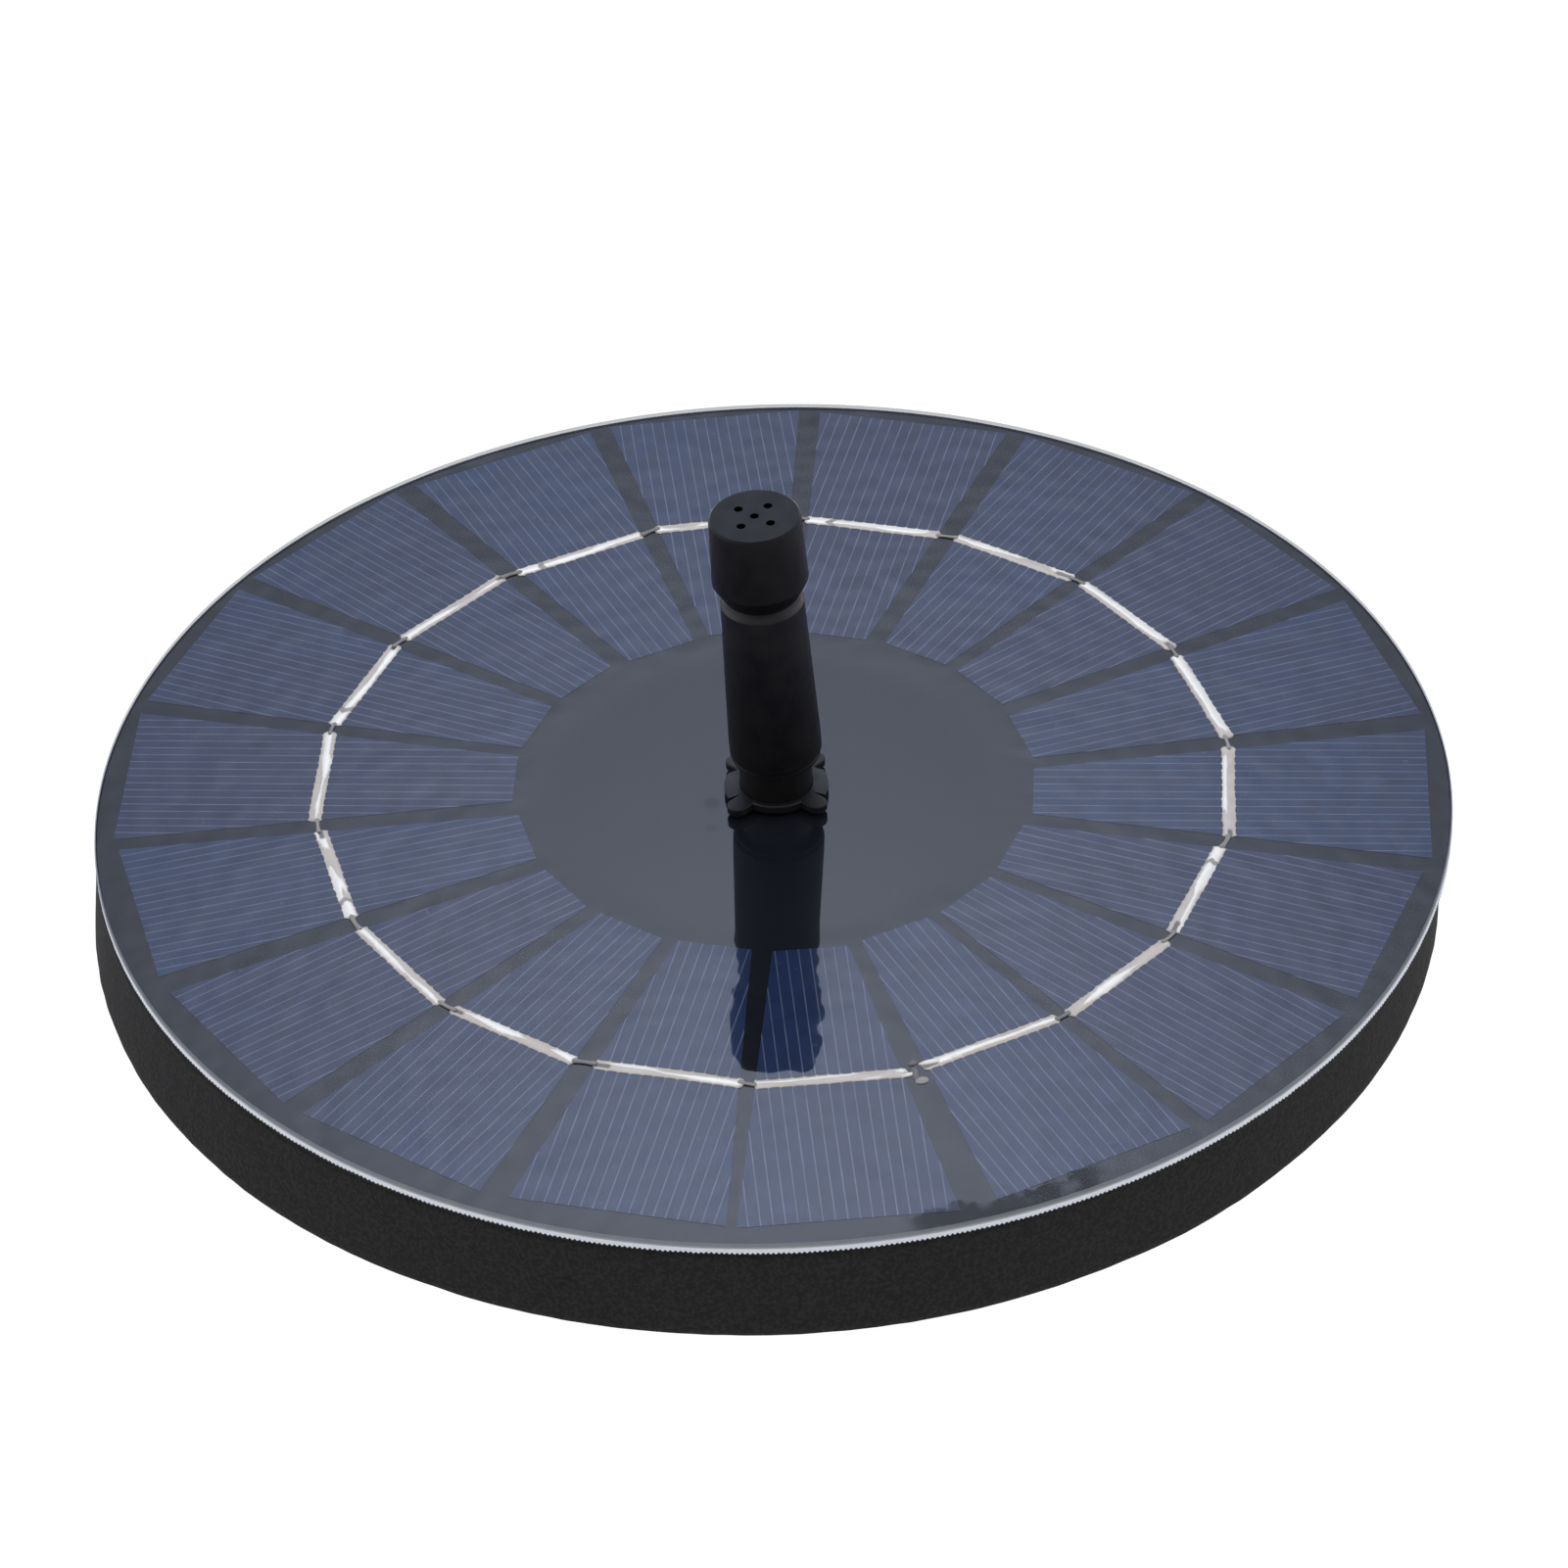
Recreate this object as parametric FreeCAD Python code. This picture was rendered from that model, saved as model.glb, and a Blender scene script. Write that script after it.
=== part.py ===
import FreeCAD, Part
import math
import os
from FreeCAD import Placement, Rotation, Vector

# Floating solar fountain: a round solar panel on a foam ring, with a small
# brushless pump hung under it and a spray nozzle standing on the pump's outlet.
# Millimetres. X to the right, Y to the back, Z up. The origin is on the panel's
# axis, in the plane of the pump's flat underside, on which the object can stand.

# ---- driving dimensions: panel and float -------------------------------------

PANEL_R = 80.0                 # the panel is 160 mm across
FLOAT_UNDERSIDE = 16.3         # the pump stands this far out below the foam
FLOAT_THICK = 12.0
FLOAT_R = 80.0
FLOAT_HOLE_R = 48.0
FLOAT_SHIFT_X = -1.2           # the foam is stuck on a little to the left
FLOAT_SLANT = 1.25             # how far its top stands in from its underside at the left
FILM_THICK = 0.2               # adhesive film between the foam and the board
FILM_INSET = 1.5
BOARD_THICK = 0.8
COAT_THICK = 0.7               # clear resin over the cells
COAT_ROUNDING = 0.25
STUB_HOLE_CLEARANCE = 0.5      # radial, where the pump's stub goes through the panel

CELLS_BACK = 1.1               # the whole ring of cells is laid a little to the back
FIRST_GAP_ANGLE = 65.2         # degrees, from +X towards +Y
CELL_INNER = 30.5              # distance from the ring's centre to a cell's inner end
CELL_OUTER = 76.9
CELL_GAP_INNER = 2.0           # gap between neighbouring cells at their inner ends
CELL_GAP_OUTER = 2.7
CELL_THICK = 0.2
RIBBON_AT = 53.5               # distance from the ring's centre to a ribbon's middle
RIBBON_LENGTH = 17.4
RIBBON_WIDTH = 1.55
RIBBON_THICK = 0.15
LINK_OVERLAP = 0.5             # how far a link lies over the end of each ribbon it joins
LINK_WIDTH = 0.9
LINK_THICK = 0.1

# The cells are laid by hand. This is how far each one, in turn, lies off its place:
# outwards, aside, and its turn in degrees.
CELL_SLIPS = [
    (0.1, -0.4, 0.5), (0.4, -0.1, 0.6), (0.3, 0.0, 1.3), (0.4, -0.1, 0.8),
    (0.0, -0.1, 1.0), (0.4, 0.1, 0.5), (0.2, 0.7, 0.8), (0.3, 0.2, -1.7),
    (-0.3, 0.7, 0.6), (-0.2, 0.4, -0.5), (-0.3, 0.3, -0.8), (-0.5, -0.2, -1.0),
    (0.1, -0.3, 0.6), (0.3, 0.0, 0.3), (0.3, 0.2, 0.0), (-0.3, 0.0, 0.0),
    (0.1, -0.1, 0.0), (-0.3, -0.2, 0.0),
]

# ---- driving dimensions: nozzle and lock collar --------------------------------

STUB_R = 4.3                   # the pump's outlet stub, which carries the nozzle
STUB_BORE_R = 2.4
STUB_ABOVE_PANEL = 11.0
LEAN = 2.5                     # degrees; the nozzle leans to the left on its stub
LEAN_PIVOT_ABOVE_PANEL = 8.2
RISER_ABOVE_PANEL = 5.1        # lower rim of the riser
RISER_LENGTH = 23.4            # rim to shoulder, without the spigot
SPIGOT_R = 4.05
SPIGOT_LENGTH = 7.5
CAP_HEIGHT = 10.85
CAP_FIT = 0.06                 # radial, between the cap's bore and the spigot
SEAT_GAP = 0.1                 # between faces that only rest on each other

COLLAR_LIFT = 0.05
COLLAR_R = 5.05
COLLAR_HEIGHT = 0.95
COLLAR_ROUNDING = 0.22         # along its upper outline
COLLAR_LIP_LOW = 0.3           # the lip that clips into the stub's groove
COLLAR_LIP_HIGH = 0.6
GROOVE_DEPTH = 0.33
GROOVE_HEIGHT = 0.5
EAR_ANGLE = 42.0               # degrees either side of +X and -X
EAR_REACH = 7.5
EAR_HALF = 1.2
WING_R = 6.15                  # the bulge between the two ears of each side
WING_HALF = 2.4
WING_RIM = 0.45                # height of the wing's outer face; its top slopes up to the ring

# ---- driving dimensions: pump, stations along its axis from the outlet ---------

PUMP_X = 0.5                   # the outlet is a little off the panel's centre
PUMP_HALF = 13.5               # half the width and height of the pump's body
PUMP_CORNER = 4.0              # rounding of the body's long edges
PUMP_FRONT = -4.6              # front face of the volute cover
PUMP_SPLIT = 4.6               # joint between volute cover and motor housing
PUMP_BACK = 25.0

RIM_DEPTH = 2.0                # the rim that the strainer is pushed over
RIM_INSET = 1.5
RIM_WALL = 1.2
STRAINER_FRONT = -14.0
STRAINER_WALL = 1.2
SLOT_HALF = 0.75

CHAMBER_R = 10.2
CHAMBER_FRONT = -2.6
CHAMBER_BACK = 2.6
EYE_R = 5.5                    # the intake's opening into the chamber
SPIDER_HALF = 0.6              # half the width of the arms across that opening

SHAFT_R = 1.0
RUNNING_CLEARANCE = 0.06       # radial, in the bore that runs on the shaft
SEAT_R = 2.2                   # rubber cups that hold the shaft's ends
SEAT_DEPTH = 1.2
WASHER_R = 2.1
WASHER_THICK = 0.5
END_PLAY = 0.1

ROTOR_FRONT = -1.7
DISC_FRONT = 1.2               # front of the impeller's disc, behind the vanes
DISC_THICK = 1.0
BOSS_R = 4.0
BOSS_THICK = 1.2
SLEEVE_R = 2.0
SLEEVE_END = 18.4
IMPELLER_R = 8.5
HUB_R = 2.4
VANE_COUNT = 6
VANE_HALF = 0.4
MAGNET_R = 4.85

WELL_R = 5.3                   # the wet well round the magnet
WELL_WALL = 0.8
WELL_END = 19.0
WELL_BOTTOM = 2.0
REGISTER_GAP = 0.05            # radial, where the housing's register enters the chamber
HOUSING_BORE_R = 11.6
HOUSING_BORE_FRONT = 6.0

SCREW_AT = 10.2                # the screws stand in the body's four corners
SCREW_R = 0.9
SCREW_HEAD_R = 1.7
SCREW_HEAD_THICK = 1.2
SCREW_END = 10.5
CROSS_HALF = 1.0               # the cross recess in a screw's head
CROSS_SLOT_HALF = 0.2
CROSS_DEPTH = 0.6
SEAL_MID_R = 11.6
SEAL_WIRE_R = 0.6
OUTLET_WASHER_R = 8.0

STATOR_FRONT = 8.0
STATOR_BACK = 17.0
POLE_COUNT = 4
YOKE_R = 11.4
YOKE_INNER_R = 9.9
SHOE_R = 7.1
SHOE_INNER_R = 6.3
SHOE_ANGLE = 50.0
TOOTH_HALF = 1.5
BOBBIN_WALL = 0.4
COIL_BUILD = 1.5               # from the tooth to the outside of its coil

CONTROL_R = 11.3               # round control board behind the motor
CONTROL_FRONT = 21.6
CONTROL_THICK = 1.0
POTTING_RECESS = 0.4
CAPACITOR_R = 2.0
CAPACITOR_LENGTH = 4.4
CAPACITOR_AT = 8.85            # distance from the pump's axis, between two poles

# ---- driving dimensions: junction box and lead ----------------------------------

BOX_LEFT, BOX_RIGHT = -35.0, -20.0
BOX_NEAR, BOX_FAR = 5.0, 27.0
BOX_BOTTOM = 22.5
BOX_WALL = 1.2
BOX_ROOF = 0.8
LID_THICK = 1.0
LID_LIP = 0.8
TERMINALS = [(-31.0, 12.4), (-26.0, 21.4)]
TERMINAL_R = 0.6
TERMINAL_FOOT = 24.6
DIODE_AT = (-28.6, 26.0)       # x and z of the blocking diode's axis
GROMMET_R = 1.9

LEAD_R = 1.2
LEAD_FIT = 0.06                # radial, in each hole that the lead goes through
GROMMET_MOUTH_R = 1.5          # a grommet's hole widens to this, where the lead starts to bend
LEAD_HEIGHT = 20.0             # height of the lead where it leaves the pump
BOX_LEAD_X = -25.5             # where the lead enters the box
BOX_LEAD_Z = 25.4

# ---- heights and stations worked out from them ----------------------------------

FLOAT_TOP = FLOAT_UNDERSIDE + FLOAT_THICK
BOARD_BOTTOM = FLOAT_TOP + FILM_THICK
BOARD_TOP = BOARD_BOTTOM + BOARD_THICK
PANEL_TOP = BOARD_TOP + COAT_THICK
LEAD_HOLE_R = LEAD_R + LEAD_FIT
RIBBON_LOW = BOARD_TOP + CELL_THICK
RIBBON_HIGH = RIBBON_LOW + RIBBON_THICK
COLLAR_LOW = PANEL_TOP + COLLAR_LIFT
PUMP_TOP = 2 * PUMP_HALF
STUB_TOP = PANEL_TOP + STUB_ABOVE_PANEL
CELL_STEP = 360.0 / len(CELL_SLIPS)
RIM_FRONT = PUMP_FRONT - RIM_DEPTH
SEAL_LOW = PUMP_SPLIT - 2 * SEAL_WIRE_R
SEAT_BACK = ROTOR_FRONT - END_PLAY - WASHER_THICK    # back of the front shaft seat
DISC_BACK = DISC_FRONT + DISC_THICK
BOSS_BACK = DISC_BACK + BOSS_THICK
CONTROL_BACK = CONTROL_FRONT + CONTROL_THICK
POTTING_BACK = PUMP_BACK - POTTING_RECESS
LEAD_DROP = PUMP_HALF - LEAD_HEIGHT                  # on the pump's own Y, which points down

RIGHT = Vector(1, 0, 0)
BACK = Vector(0, 1, 0)
UP = Vector(0, 0, 1)

parts = {}


# ---- helpers ---------------------------------------------------------------------

def disc(radius, bottom, top, x=0.0, y=0.0):
    """Upright cylinder."""
    return Part.makeCylinder(radius, top - bottom, Vector(x, y, bottom))


def ring(outer, inner, bottom, top, x=0.0, y=0.0):
    """Upright tube."""
    return disc(outer, bottom, top, x, y).cut(disc(inner, bottom, top, x, y))


def box(low, high):
    """Box between two corners."""
    size = Vector(*high) - Vector(*low)
    return Part.makeBox(size.x, size.y, size.z, Vector(*low))


def joined(shapes):
    """One solid from shapes that meet or overlap."""
    first, *others = shapes
    return first.fuse(others).removeSplitter() if others else first


def turned(points):
    """Solid of revolution about Z from (radius, height) corners."""
    corners = [Vector(radius, 0, height) for radius, height in points]
    outline = Part.makePolygon(corners + corners[:1])
    return Part.Face(outline).revolve(Vector(0, 0, 0), UP, 360)


def plate(points, bottom, top):
    """Flat plate from (x, y) corners."""
    corners = [Vector(x, y, bottom) for x, y in points]
    outline = Part.makePolygon(corners + corners[:1])
    return Part.Face(outline).extrude(UP * (top - bottom))


def rims_at(shape, height):
    """The circular edges that lie at one height."""
    return [
        edge for edge in shape.Edges
        if isinstance(edge.Curve, Part.Circle) and abs(edge.Curve.Center.z - height) < 1e-6
    ]


def placed(shape, place):
    """A copy of a shape, moved by a placement."""
    moved = shape.copy()
    moved.Placement = place.multiply(moved.Placement)
    return moved


def turned_about_z(shape, angle):
    return placed(shape, Placement(Vector(0, 0, 0), Rotation(UP, angle)))


def on_pump(shape):
    """Lay a shape built about Z along the pump's axis: its height becomes the
    station along Y, and its own +Y points down."""
    axis = Vector(PUMP_X, 0, PUMP_HALF)
    return placed(shape, Placement(axis, Rotation(RIGHT, -90)))


def square_prism(half, corner, front, back):
    """Rounded square bar along the pump's axis, about that axis."""
    bar = box((-half, -half, front), (half, half, back))
    long_edges = [
        edge for edge in bar.Edges
        if abs(edge.BoundBox.ZLength - (back - front)) < 1e-6
    ]
    return bar.makeFillet(corner, long_edges)


# ---- panel and float ---------------------------------------------------------------

def cell_places():
    """Where each cell lies, going clockwise from the first gap."""
    places = []
    for index, (out, aside, turn) in enumerate(CELL_SLIPS):
        middle_angle = FIRST_GAP_ANGLE - CELL_STEP * (index + 0.5)
        slip = Placement(Vector(out, aside, 0), Rotation(UP, turn), Vector(RIBBON_AT, 0, 0))
        spoke = Placement(BACK * CELLS_BACK, Rotation(UP, middle_angle))
        places.append(spoke.multiply(slip))
    return places


def ribbon_link(place, next_place):
    """A short bridge over the ends of two neighbouring ribbons."""
    start = place.multVec(Vector(RIBBON_AT, -RIBBON_LENGTH / 2, RIBBON_HIGH))
    end = next_place.multVec(Vector(RIBBON_AT, RIBBON_LENGTH / 2, RIBBON_HIGH))
    across = end - start
    half = across.Length / 2 + LINK_OVERLAP
    link = box((-half, -LINK_WIDTH / 2, 0), (half, LINK_WIDTH / 2, LINK_THICK))
    angle = math.degrees(math.atan2(across.y, across.x))
    return placed(link, Placement((start + end) / 2, Rotation(UP, angle)))


def build_panel():
    places = cell_places()

    spread = math.tan(math.radians(CELL_STEP / 2))
    inner_half = CELL_INNER * spread - CELL_GAP_INNER / 2
    outer_half = CELL_OUTER * spread - CELL_GAP_OUTER / 2
    trapezoid = [
        (CELL_INNER, -inner_half),
        (CELL_OUTER, -outer_half),
        (CELL_OUTER, outer_half),
        (CELL_INNER, inner_half),
    ]
    cell = plate(trapezoid, BOARD_TOP, RIBBON_LOW)
    cells = [placed(cell, place) for place in places]
    for index, shape in enumerate(cells):
        parts[f"cell_{index + 1:02d}"] = shape

    # A tinned ribbon is soldered across each cell.
    ribbon = box(
        (RIBBON_AT - RIBBON_WIDTH / 2, -RIBBON_LENGTH / 2, RIBBON_LOW),
        (RIBBON_AT + RIBBON_WIDTH / 2, RIBBON_LENGTH / 2, RIBBON_HIGH),
    )
    ribbons = [placed(ribbon, place) for place in places]
    parts["cell_ribbons"] = Part.makeCompound(ribbons)

    links = [ribbon_link(*pair) for pair in zip(places, places[1:] + places[:1])]
    parts["ribbon_links"] = Part.makeCompound(links)

    stub_hole = disc(STUB_R + STUB_HOLE_CLEARANCE, BOARD_BOTTOM, PANEL_TOP, PUMP_X)
    coat = disc(PANEL_R, BOARD_TOP, PANEL_TOP)
    coat = coat.makeFillet(COAT_ROUNDING, rims_at(coat, PANEL_TOP)).cut(stub_hole)
    parts["clear_coat"] = coat.cut(cells + ribbons + links)

    board = disc(PANEL_R, BOARD_BOTTOM, BOARD_TOP).cut(stub_hole)
    board = board.cut([disc(TERMINAL_R, BOARD_BOTTOM, BOARD_TOP, x, y) for x, y in TERMINALS])
    parts["backing_board"] = board


def build_float():
    """Foam ring cut at a slant: its side is upright at the right and leans in at the left."""
    top_r = FLOAT_R - FLOAT_SLANT / 2
    top_x = FLOAT_SHIFT_X + FLOAT_SLANT / 2
    outlines = []
    for radius, x, height in ((FLOAT_R, FLOAT_SHIFT_X, FLOAT_UNDERSIDE), (top_r, top_x, FLOAT_TOP)):
        circle = Part.makeCircle(radius, Vector(x, 0, height))
        outlines.append(Part.Wire(circle))
    foam = Part.makeLoft(outlines, True, True)
    parts["float_ring"] = foam.cut(disc(FLOAT_HOLE_R, FLOAT_UNDERSIDE, FLOAT_TOP, FLOAT_SHIFT_X))
    parts["float_adhesive"] = ring(
        top_r - FILM_INSET, FLOAT_HOLE_R + FILM_INSET, FLOAT_TOP, BOARD_BOTTOM, top_x
    )


# ---- nozzle ------------------------------------------------------------------------

def leaning(shape):
    """Stand a shape built about Z on the outlet stub: height 0 is the riser's rim."""
    tilt = Rotation(BACK, -LEAN)
    pivot = Vector(PUMP_X, 0, PANEL_TOP + LEAN_PIVOT_ABOVE_PANEL)
    rim = UP * (RISER_ABOVE_PANEL - LEAN_PIVOT_ABOVE_PANEL)
    return placed(shape, Placement(pivot + tilt.multVec(rim), tilt))


def build_riser():
    """Tube that is pushed over the stub, with a spigot for the cap on top."""
    foot_r = 5.05
    bead_r = 5.22
    bead_low = 0.15
    bead_high = 0.42
    waist_r = 5.08
    waist = 0.5
    belly_r = 5.43
    belly_low = 1.0
    belly_high = 3.0
    shoulder_r = 4.87
    shoulder_low = RISER_LENGTH - 1.0
    shoulder_mid = RISER_LENGTH - 0.35
    shoulder_mid_r = shoulder_r - 0.25
    neck_r = 4.3
    spigot_chamfer = 0.4
    channel_r = 3.0
    socket_r = STUB_R + 0.2
    socket_step = 0.3
    socket_depth = STUB_ABOVE_PANEL - RISER_ABOVE_PANEL + 0.6
    funnel = 1.2
    gate_mark_r = 0.55
    gate_mark_at = 1.9
    gate_mark_height = 0.08
    top = RISER_LENGTH + SPIGOT_LENGTH
    body = turned([
        (socket_r, 0),
        (foot_r, 0),
        (bead_r, bead_low),
        (bead_r, bead_high),
        (waist_r, waist),
        (belly_r, belly_low),
        (belly_r, belly_high),
        (shoulder_r, shoulder_low),
        (shoulder_mid_r, shoulder_mid),
        (neck_r, RISER_LENGTH),
        (SPIGOT_R, RISER_LENGTH),
        (SPIGOT_R, top - spigot_chamfer),
        (SPIGOT_R - spigot_chamfer, top),
        (channel_r, top),
        (channel_r, socket_depth + funnel),
        (socket_r - socket_step, socket_depth),
        (socket_r, socket_depth),
    ])
    mark = placed(
        disc(gate_mark_r, 0, belly_r + gate_mark_height),
        Placement(Vector(0, 0, gate_mark_at), Rotation(RIGHT, 90)),
    )
    mark = mark.cut(disc(belly_r - 0.1, 0, top))
    parts["nozzle_riser"] = leaning(body.fuse(mark))


def build_cap():
    """Spray cap with one hole in the middle and four in a square round it."""
    rim_r = 4.45
    chamfer = 2.2
    widest_r = 5.62
    top_r = 5.36
    top_edge = 0.25
    roof_low = CAP_HEIGHT - 1.2
    hole_r = 0.525
    hole_reach = 2.4
    hole_turn = 49.0
    bore_r = SPIGOT_R + CAP_FIT
    body = turned([
        (bore_r, 0),
        (rim_r, 0),
        (widest_r, chamfer),
        (top_r, CAP_HEIGHT - top_edge),
        (top_r - top_edge, CAP_HEIGHT),
        (0, CAP_HEIGHT),
        (0, roof_low),
        (bore_r, roof_low),
    ])
    outer_hole = disc(hole_r, 0, CAP_HEIGHT, hole_reach)
    holes = [disc(hole_r, 0, CAP_HEIGHT)]
    holes += [turned_about_z(outer_hole, hole_turn + 90 * index) for index in range(4)]
    foot = UP * (RISER_LENGTH + SEAT_GAP)
    parts["nozzle_cap"] = leaning(placed(body.cut(holes), Placement(foot, Rotation())))


def build_collar():
    """Lock ring with four finger ears. It clips on the stub and holds the pump to the panel."""
    bore_r = STUB_R + 0.08
    lip_r = STUB_R - 0.25
    high = COLLAR_LOW + COLLAR_HEIGHT

    tip = EAR_REACH - EAR_HALF
    bar = box((lip_r, -EAR_HALF, COLLAR_LOW), (tip, EAR_HALF, high))
    ear = bar.fuse(disc(EAR_HALF, COLLAR_LOW, high, tip)).removeSplitter()
    ear = ear.makeFillet(COLLAR_ROUNDING, [
        edge for edge in ear.Edges
        if abs(edge.BoundBox.ZMin - high) < 1e-6 and edge.BoundBox.XMax > COLLAR_R
    ])
    ears = [
        turned_about_z(ear, side + sign * EAR_ANGLE)
        for side in (0, 180) for sign in (1, -1)
    ]
    wings = turned([
        (lip_r, COLLAR_LOW),
        (WING_R, COLLAR_LOW),
        (WING_R, COLLAR_LOW + WING_RIM),
        (COLLAR_R, high),
        (lip_r, high),
    ])
    wings = wings.common(box((-WING_R, -WING_HALF, COLLAR_LOW), (WING_R, WING_HALF, high)))
    hub = disc(COLLAR_R, COLLAR_LOW, high)
    hub = hub.makeFillet(COLLAR_ROUNDING, rims_at(hub, high))
    body = joined([hub] + ears + [wings])
    bore = joined([
        disc(bore_r, COLLAR_LOW, COLLAR_LOW + COLLAR_LIP_LOW),
        disc(lip_r, COLLAR_LOW, high),
        disc(bore_r, COLLAR_LOW + COLLAR_LIP_HIGH, high),
    ])
    body = body.cut(bore)
    body.translate(RIGHT * PUMP_X)
    parts["lock_collar"] = body


# ---- pump: wet end -------------------------------------------------------------------

def corners():
    """The four screw places, about the pump's axis."""
    return [(sx * SCREW_AT, sy * SCREW_AT) for sx in (-1, 1) for sy in (-1, 1)]


def build_volute_cover():
    """Front half of the pump, with the chamber, the strainer's rim and the outlet stub."""
    rim_half = PUMP_HALF - RIM_INSET
    body = square_prism(PUMP_HALF, PUMP_CORNER, PUMP_FRONT, PUMP_SPLIT)
    rim = square_prism(rim_half, 3.0, RIM_FRONT, PUMP_FRONT)
    rim = rim.cut(square_prism(rim_half - RIM_WALL, 2.0, RIM_FRONT, PUMP_FRONT))
    body = body.fuse(rim)
    body = body.cut(disc(CHAMBER_R, CHAMBER_FRONT, PUMP_SPLIT))

    # Three arms across the intake's opening carry the front shaft seat.
    arm = box((0, -SPIDER_HALF, PUMP_FRONT), (EYE_R + 0.5, SPIDER_HALF, CHAMBER_FRONT))
    seat_holder = disc(SEAT_R + 0.8, PUMP_FRONT, SEAT_BACK)
    spider = joined([seat_holder] + [turned_about_z(arm, angle) for angle in (90, 210, 330)])
    body = body.cut(disc(EYE_R, PUMP_FRONT, CHAMBER_FRONT)).fuse(spider)
    body = body.cut(disc(SEAT_R, SEAT_BACK - SEAT_DEPTH, SEAT_BACK))

    seal = ring(SEAL_MID_R + SEAL_WIRE_R, SEAL_MID_R - SEAL_WIRE_R, SEAL_LOW, PUMP_SPLIT)
    body = body.cut(seal)
    for x, y in corners():
        body = body.cut(disc(SCREW_R, PUMP_FRONT, PUMP_SPLIT, x, y))
        body = body.cut(disc(SCREW_HEAD_R + 0.1, RIM_FRONT, PUMP_FRONT + SCREW_HEAD_THICK, x, y))
    body = on_pump(body)

    # The outlet stub rises from the chamber through the panel.
    groove_low = COLLAR_LOW + 0.2
    stub = disc(STUB_R, PUMP_TOP, STUB_TOP, PUMP_X)
    groove = ring(STUB_R + 1, STUB_R - GROOVE_DEPTH, groove_low, groove_low + GROOVE_HEIGHT, PUMP_X)
    bore = disc(STUB_BORE_R, PUMP_HALF + CHAMBER_R - 2.0, STUB_TOP, PUMP_X)
    parts["volute_cover"] = body.fuse(stub.cut(groove)).cut(bore).removeSplitter()

    parts["housing_seal"] = on_pump(seal)

    # A rubber washer closes the gap between the pump and the panel.
    washer_bore_r = STUB_R + 0.1
    parts["outlet_washer"] = ring(OUTLET_WASHER_R, washer_bore_r, PUMP_TOP, BOARD_BOTTOM, PUMP_X)


def build_strainer():
    """Slotted cover over the intake, pushed over the volute cover's rim."""
    half = PUMP_HALF - 0.25
    inside = PUMP_HALF - RIM_INSET + SEAT_GAP
    back = PUMP_FRONT - 0.15
    floor_back = STRAINER_FRONT + STRAINER_WALL
    body = square_prism(half, 3.6, STRAINER_FRONT, back)
    body = body.cut(square_prism(inside, 2.9, floor_back, back))

    front_reach = 9.0
    front_pitch = 3.0
    side_front = STRAINER_FRONT + 2.6
    side_back = -7.2
    side_pitch = 3.6
    slots = []
    for row in range(-3, 4):
        height = front_pitch * row
        slots.append(box(
            (-front_reach, height - SLOT_HALF, STRAINER_FRONT),
            (front_reach, height + SLOT_HALF, floor_back),
        ))
    for row in range(-2, 3):
        height = side_pitch * row
        slot = box(
            (inside - 0.2, height - SLOT_HALF, side_front),
            (half + 0.2, height + SLOT_HALF, side_back),
        )
        slots += [slot, turned_about_z(slot, 180)]
    body = body.cut(slots)
    rib_half = 0.8
    rib = box((-rib_half, -inside, STRAINER_FRONT), (rib_half, inside, floor_back))
    parts["intake_strainer"] = on_pump(body.fuse(rib).removeSplitter())


def vane(index):
    """A blade swept backwards, between two arcs."""
    radii = (HUB_R - 0.3, 5.4, IMPELLER_R - 0.1)
    sweeps = (0, 22, 55)
    start = 360.0 / VANE_COUNT * index

    def side_points(side):
        points = []
        for radius, sweep in zip(radii, sweeps):
            angle = math.radians(start + sweep) + side * VANE_HALF / radius
            points.append(Vector(radius * math.cos(angle), radius * math.sin(angle), ROTOR_FRONT))
        return points

    one = side_points(-1)
    other = side_points(1)
    outline = Part.Wire([
        Part.Arc(*one).toShape(),
        Part.LineSegment(one[2], other[2]).toShape(),
        Part.Arc(*reversed(other)).toShape(),
        Part.LineSegment(other[0], one[0]).toShape(),
    ])
    return Part.Face(outline).extrude(UP * (DISC_FRONT - ROTOR_FRONT))


def build_rotor():
    """Impeller with its sleeve, and the magnet pressed on the sleeve."""
    solid = joined(
        [vane(index) for index in range(VANE_COUNT)]
        + [
            disc(HUB_R, ROTOR_FRONT, DISC_FRONT),
            disc(IMPELLER_R, DISC_FRONT, DISC_BACK),
            disc(BOSS_R, DISC_BACK, BOSS_BACK),
            disc(SLEEVE_R, BOSS_BACK, SLEEVE_END),
        ]
    )
    bore = disc(SHAFT_R + RUNNING_CLEARANCE, ROTOR_FRONT, SLEEVE_END)
    parts["impeller"] = on_pump(solid.cut(bore))
    parts["rotor_magnet"] = on_pump(ring(MAGNET_R, SLEEVE_R, BOSS_BACK, SLEEVE_END))


def build_shaft():
    """Fixed shaft, held at each end in a rubber seat behind a thrust washer."""
    seat_front = SEAT_BACK - SEAT_DEPTH
    rear_seat_back = WELL_END + SEAT_DEPTH
    parts["rotor_shaft"] = on_pump(disc(SHAFT_R, seat_front, rear_seat_back))
    parts["front_shaft_seat"] = on_pump(ring(SEAT_R, SHAFT_R, seat_front, SEAT_BACK))
    parts["rear_shaft_seat"] = on_pump(ring(SEAT_R, SHAFT_R, WELL_END, rear_seat_back))
    parts["front_thrust_washer"] = on_pump(
        ring(WASHER_R, SHAFT_R, SEAT_BACK, SEAT_BACK + WASHER_THICK)
    )
    parts["rear_thrust_washer"] = on_pump(
        ring(WASHER_R, SHAFT_R, WELL_END - WASHER_THICK, WELL_END)
    )


# ---- pump: motor ---------------------------------------------------------------------

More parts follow.
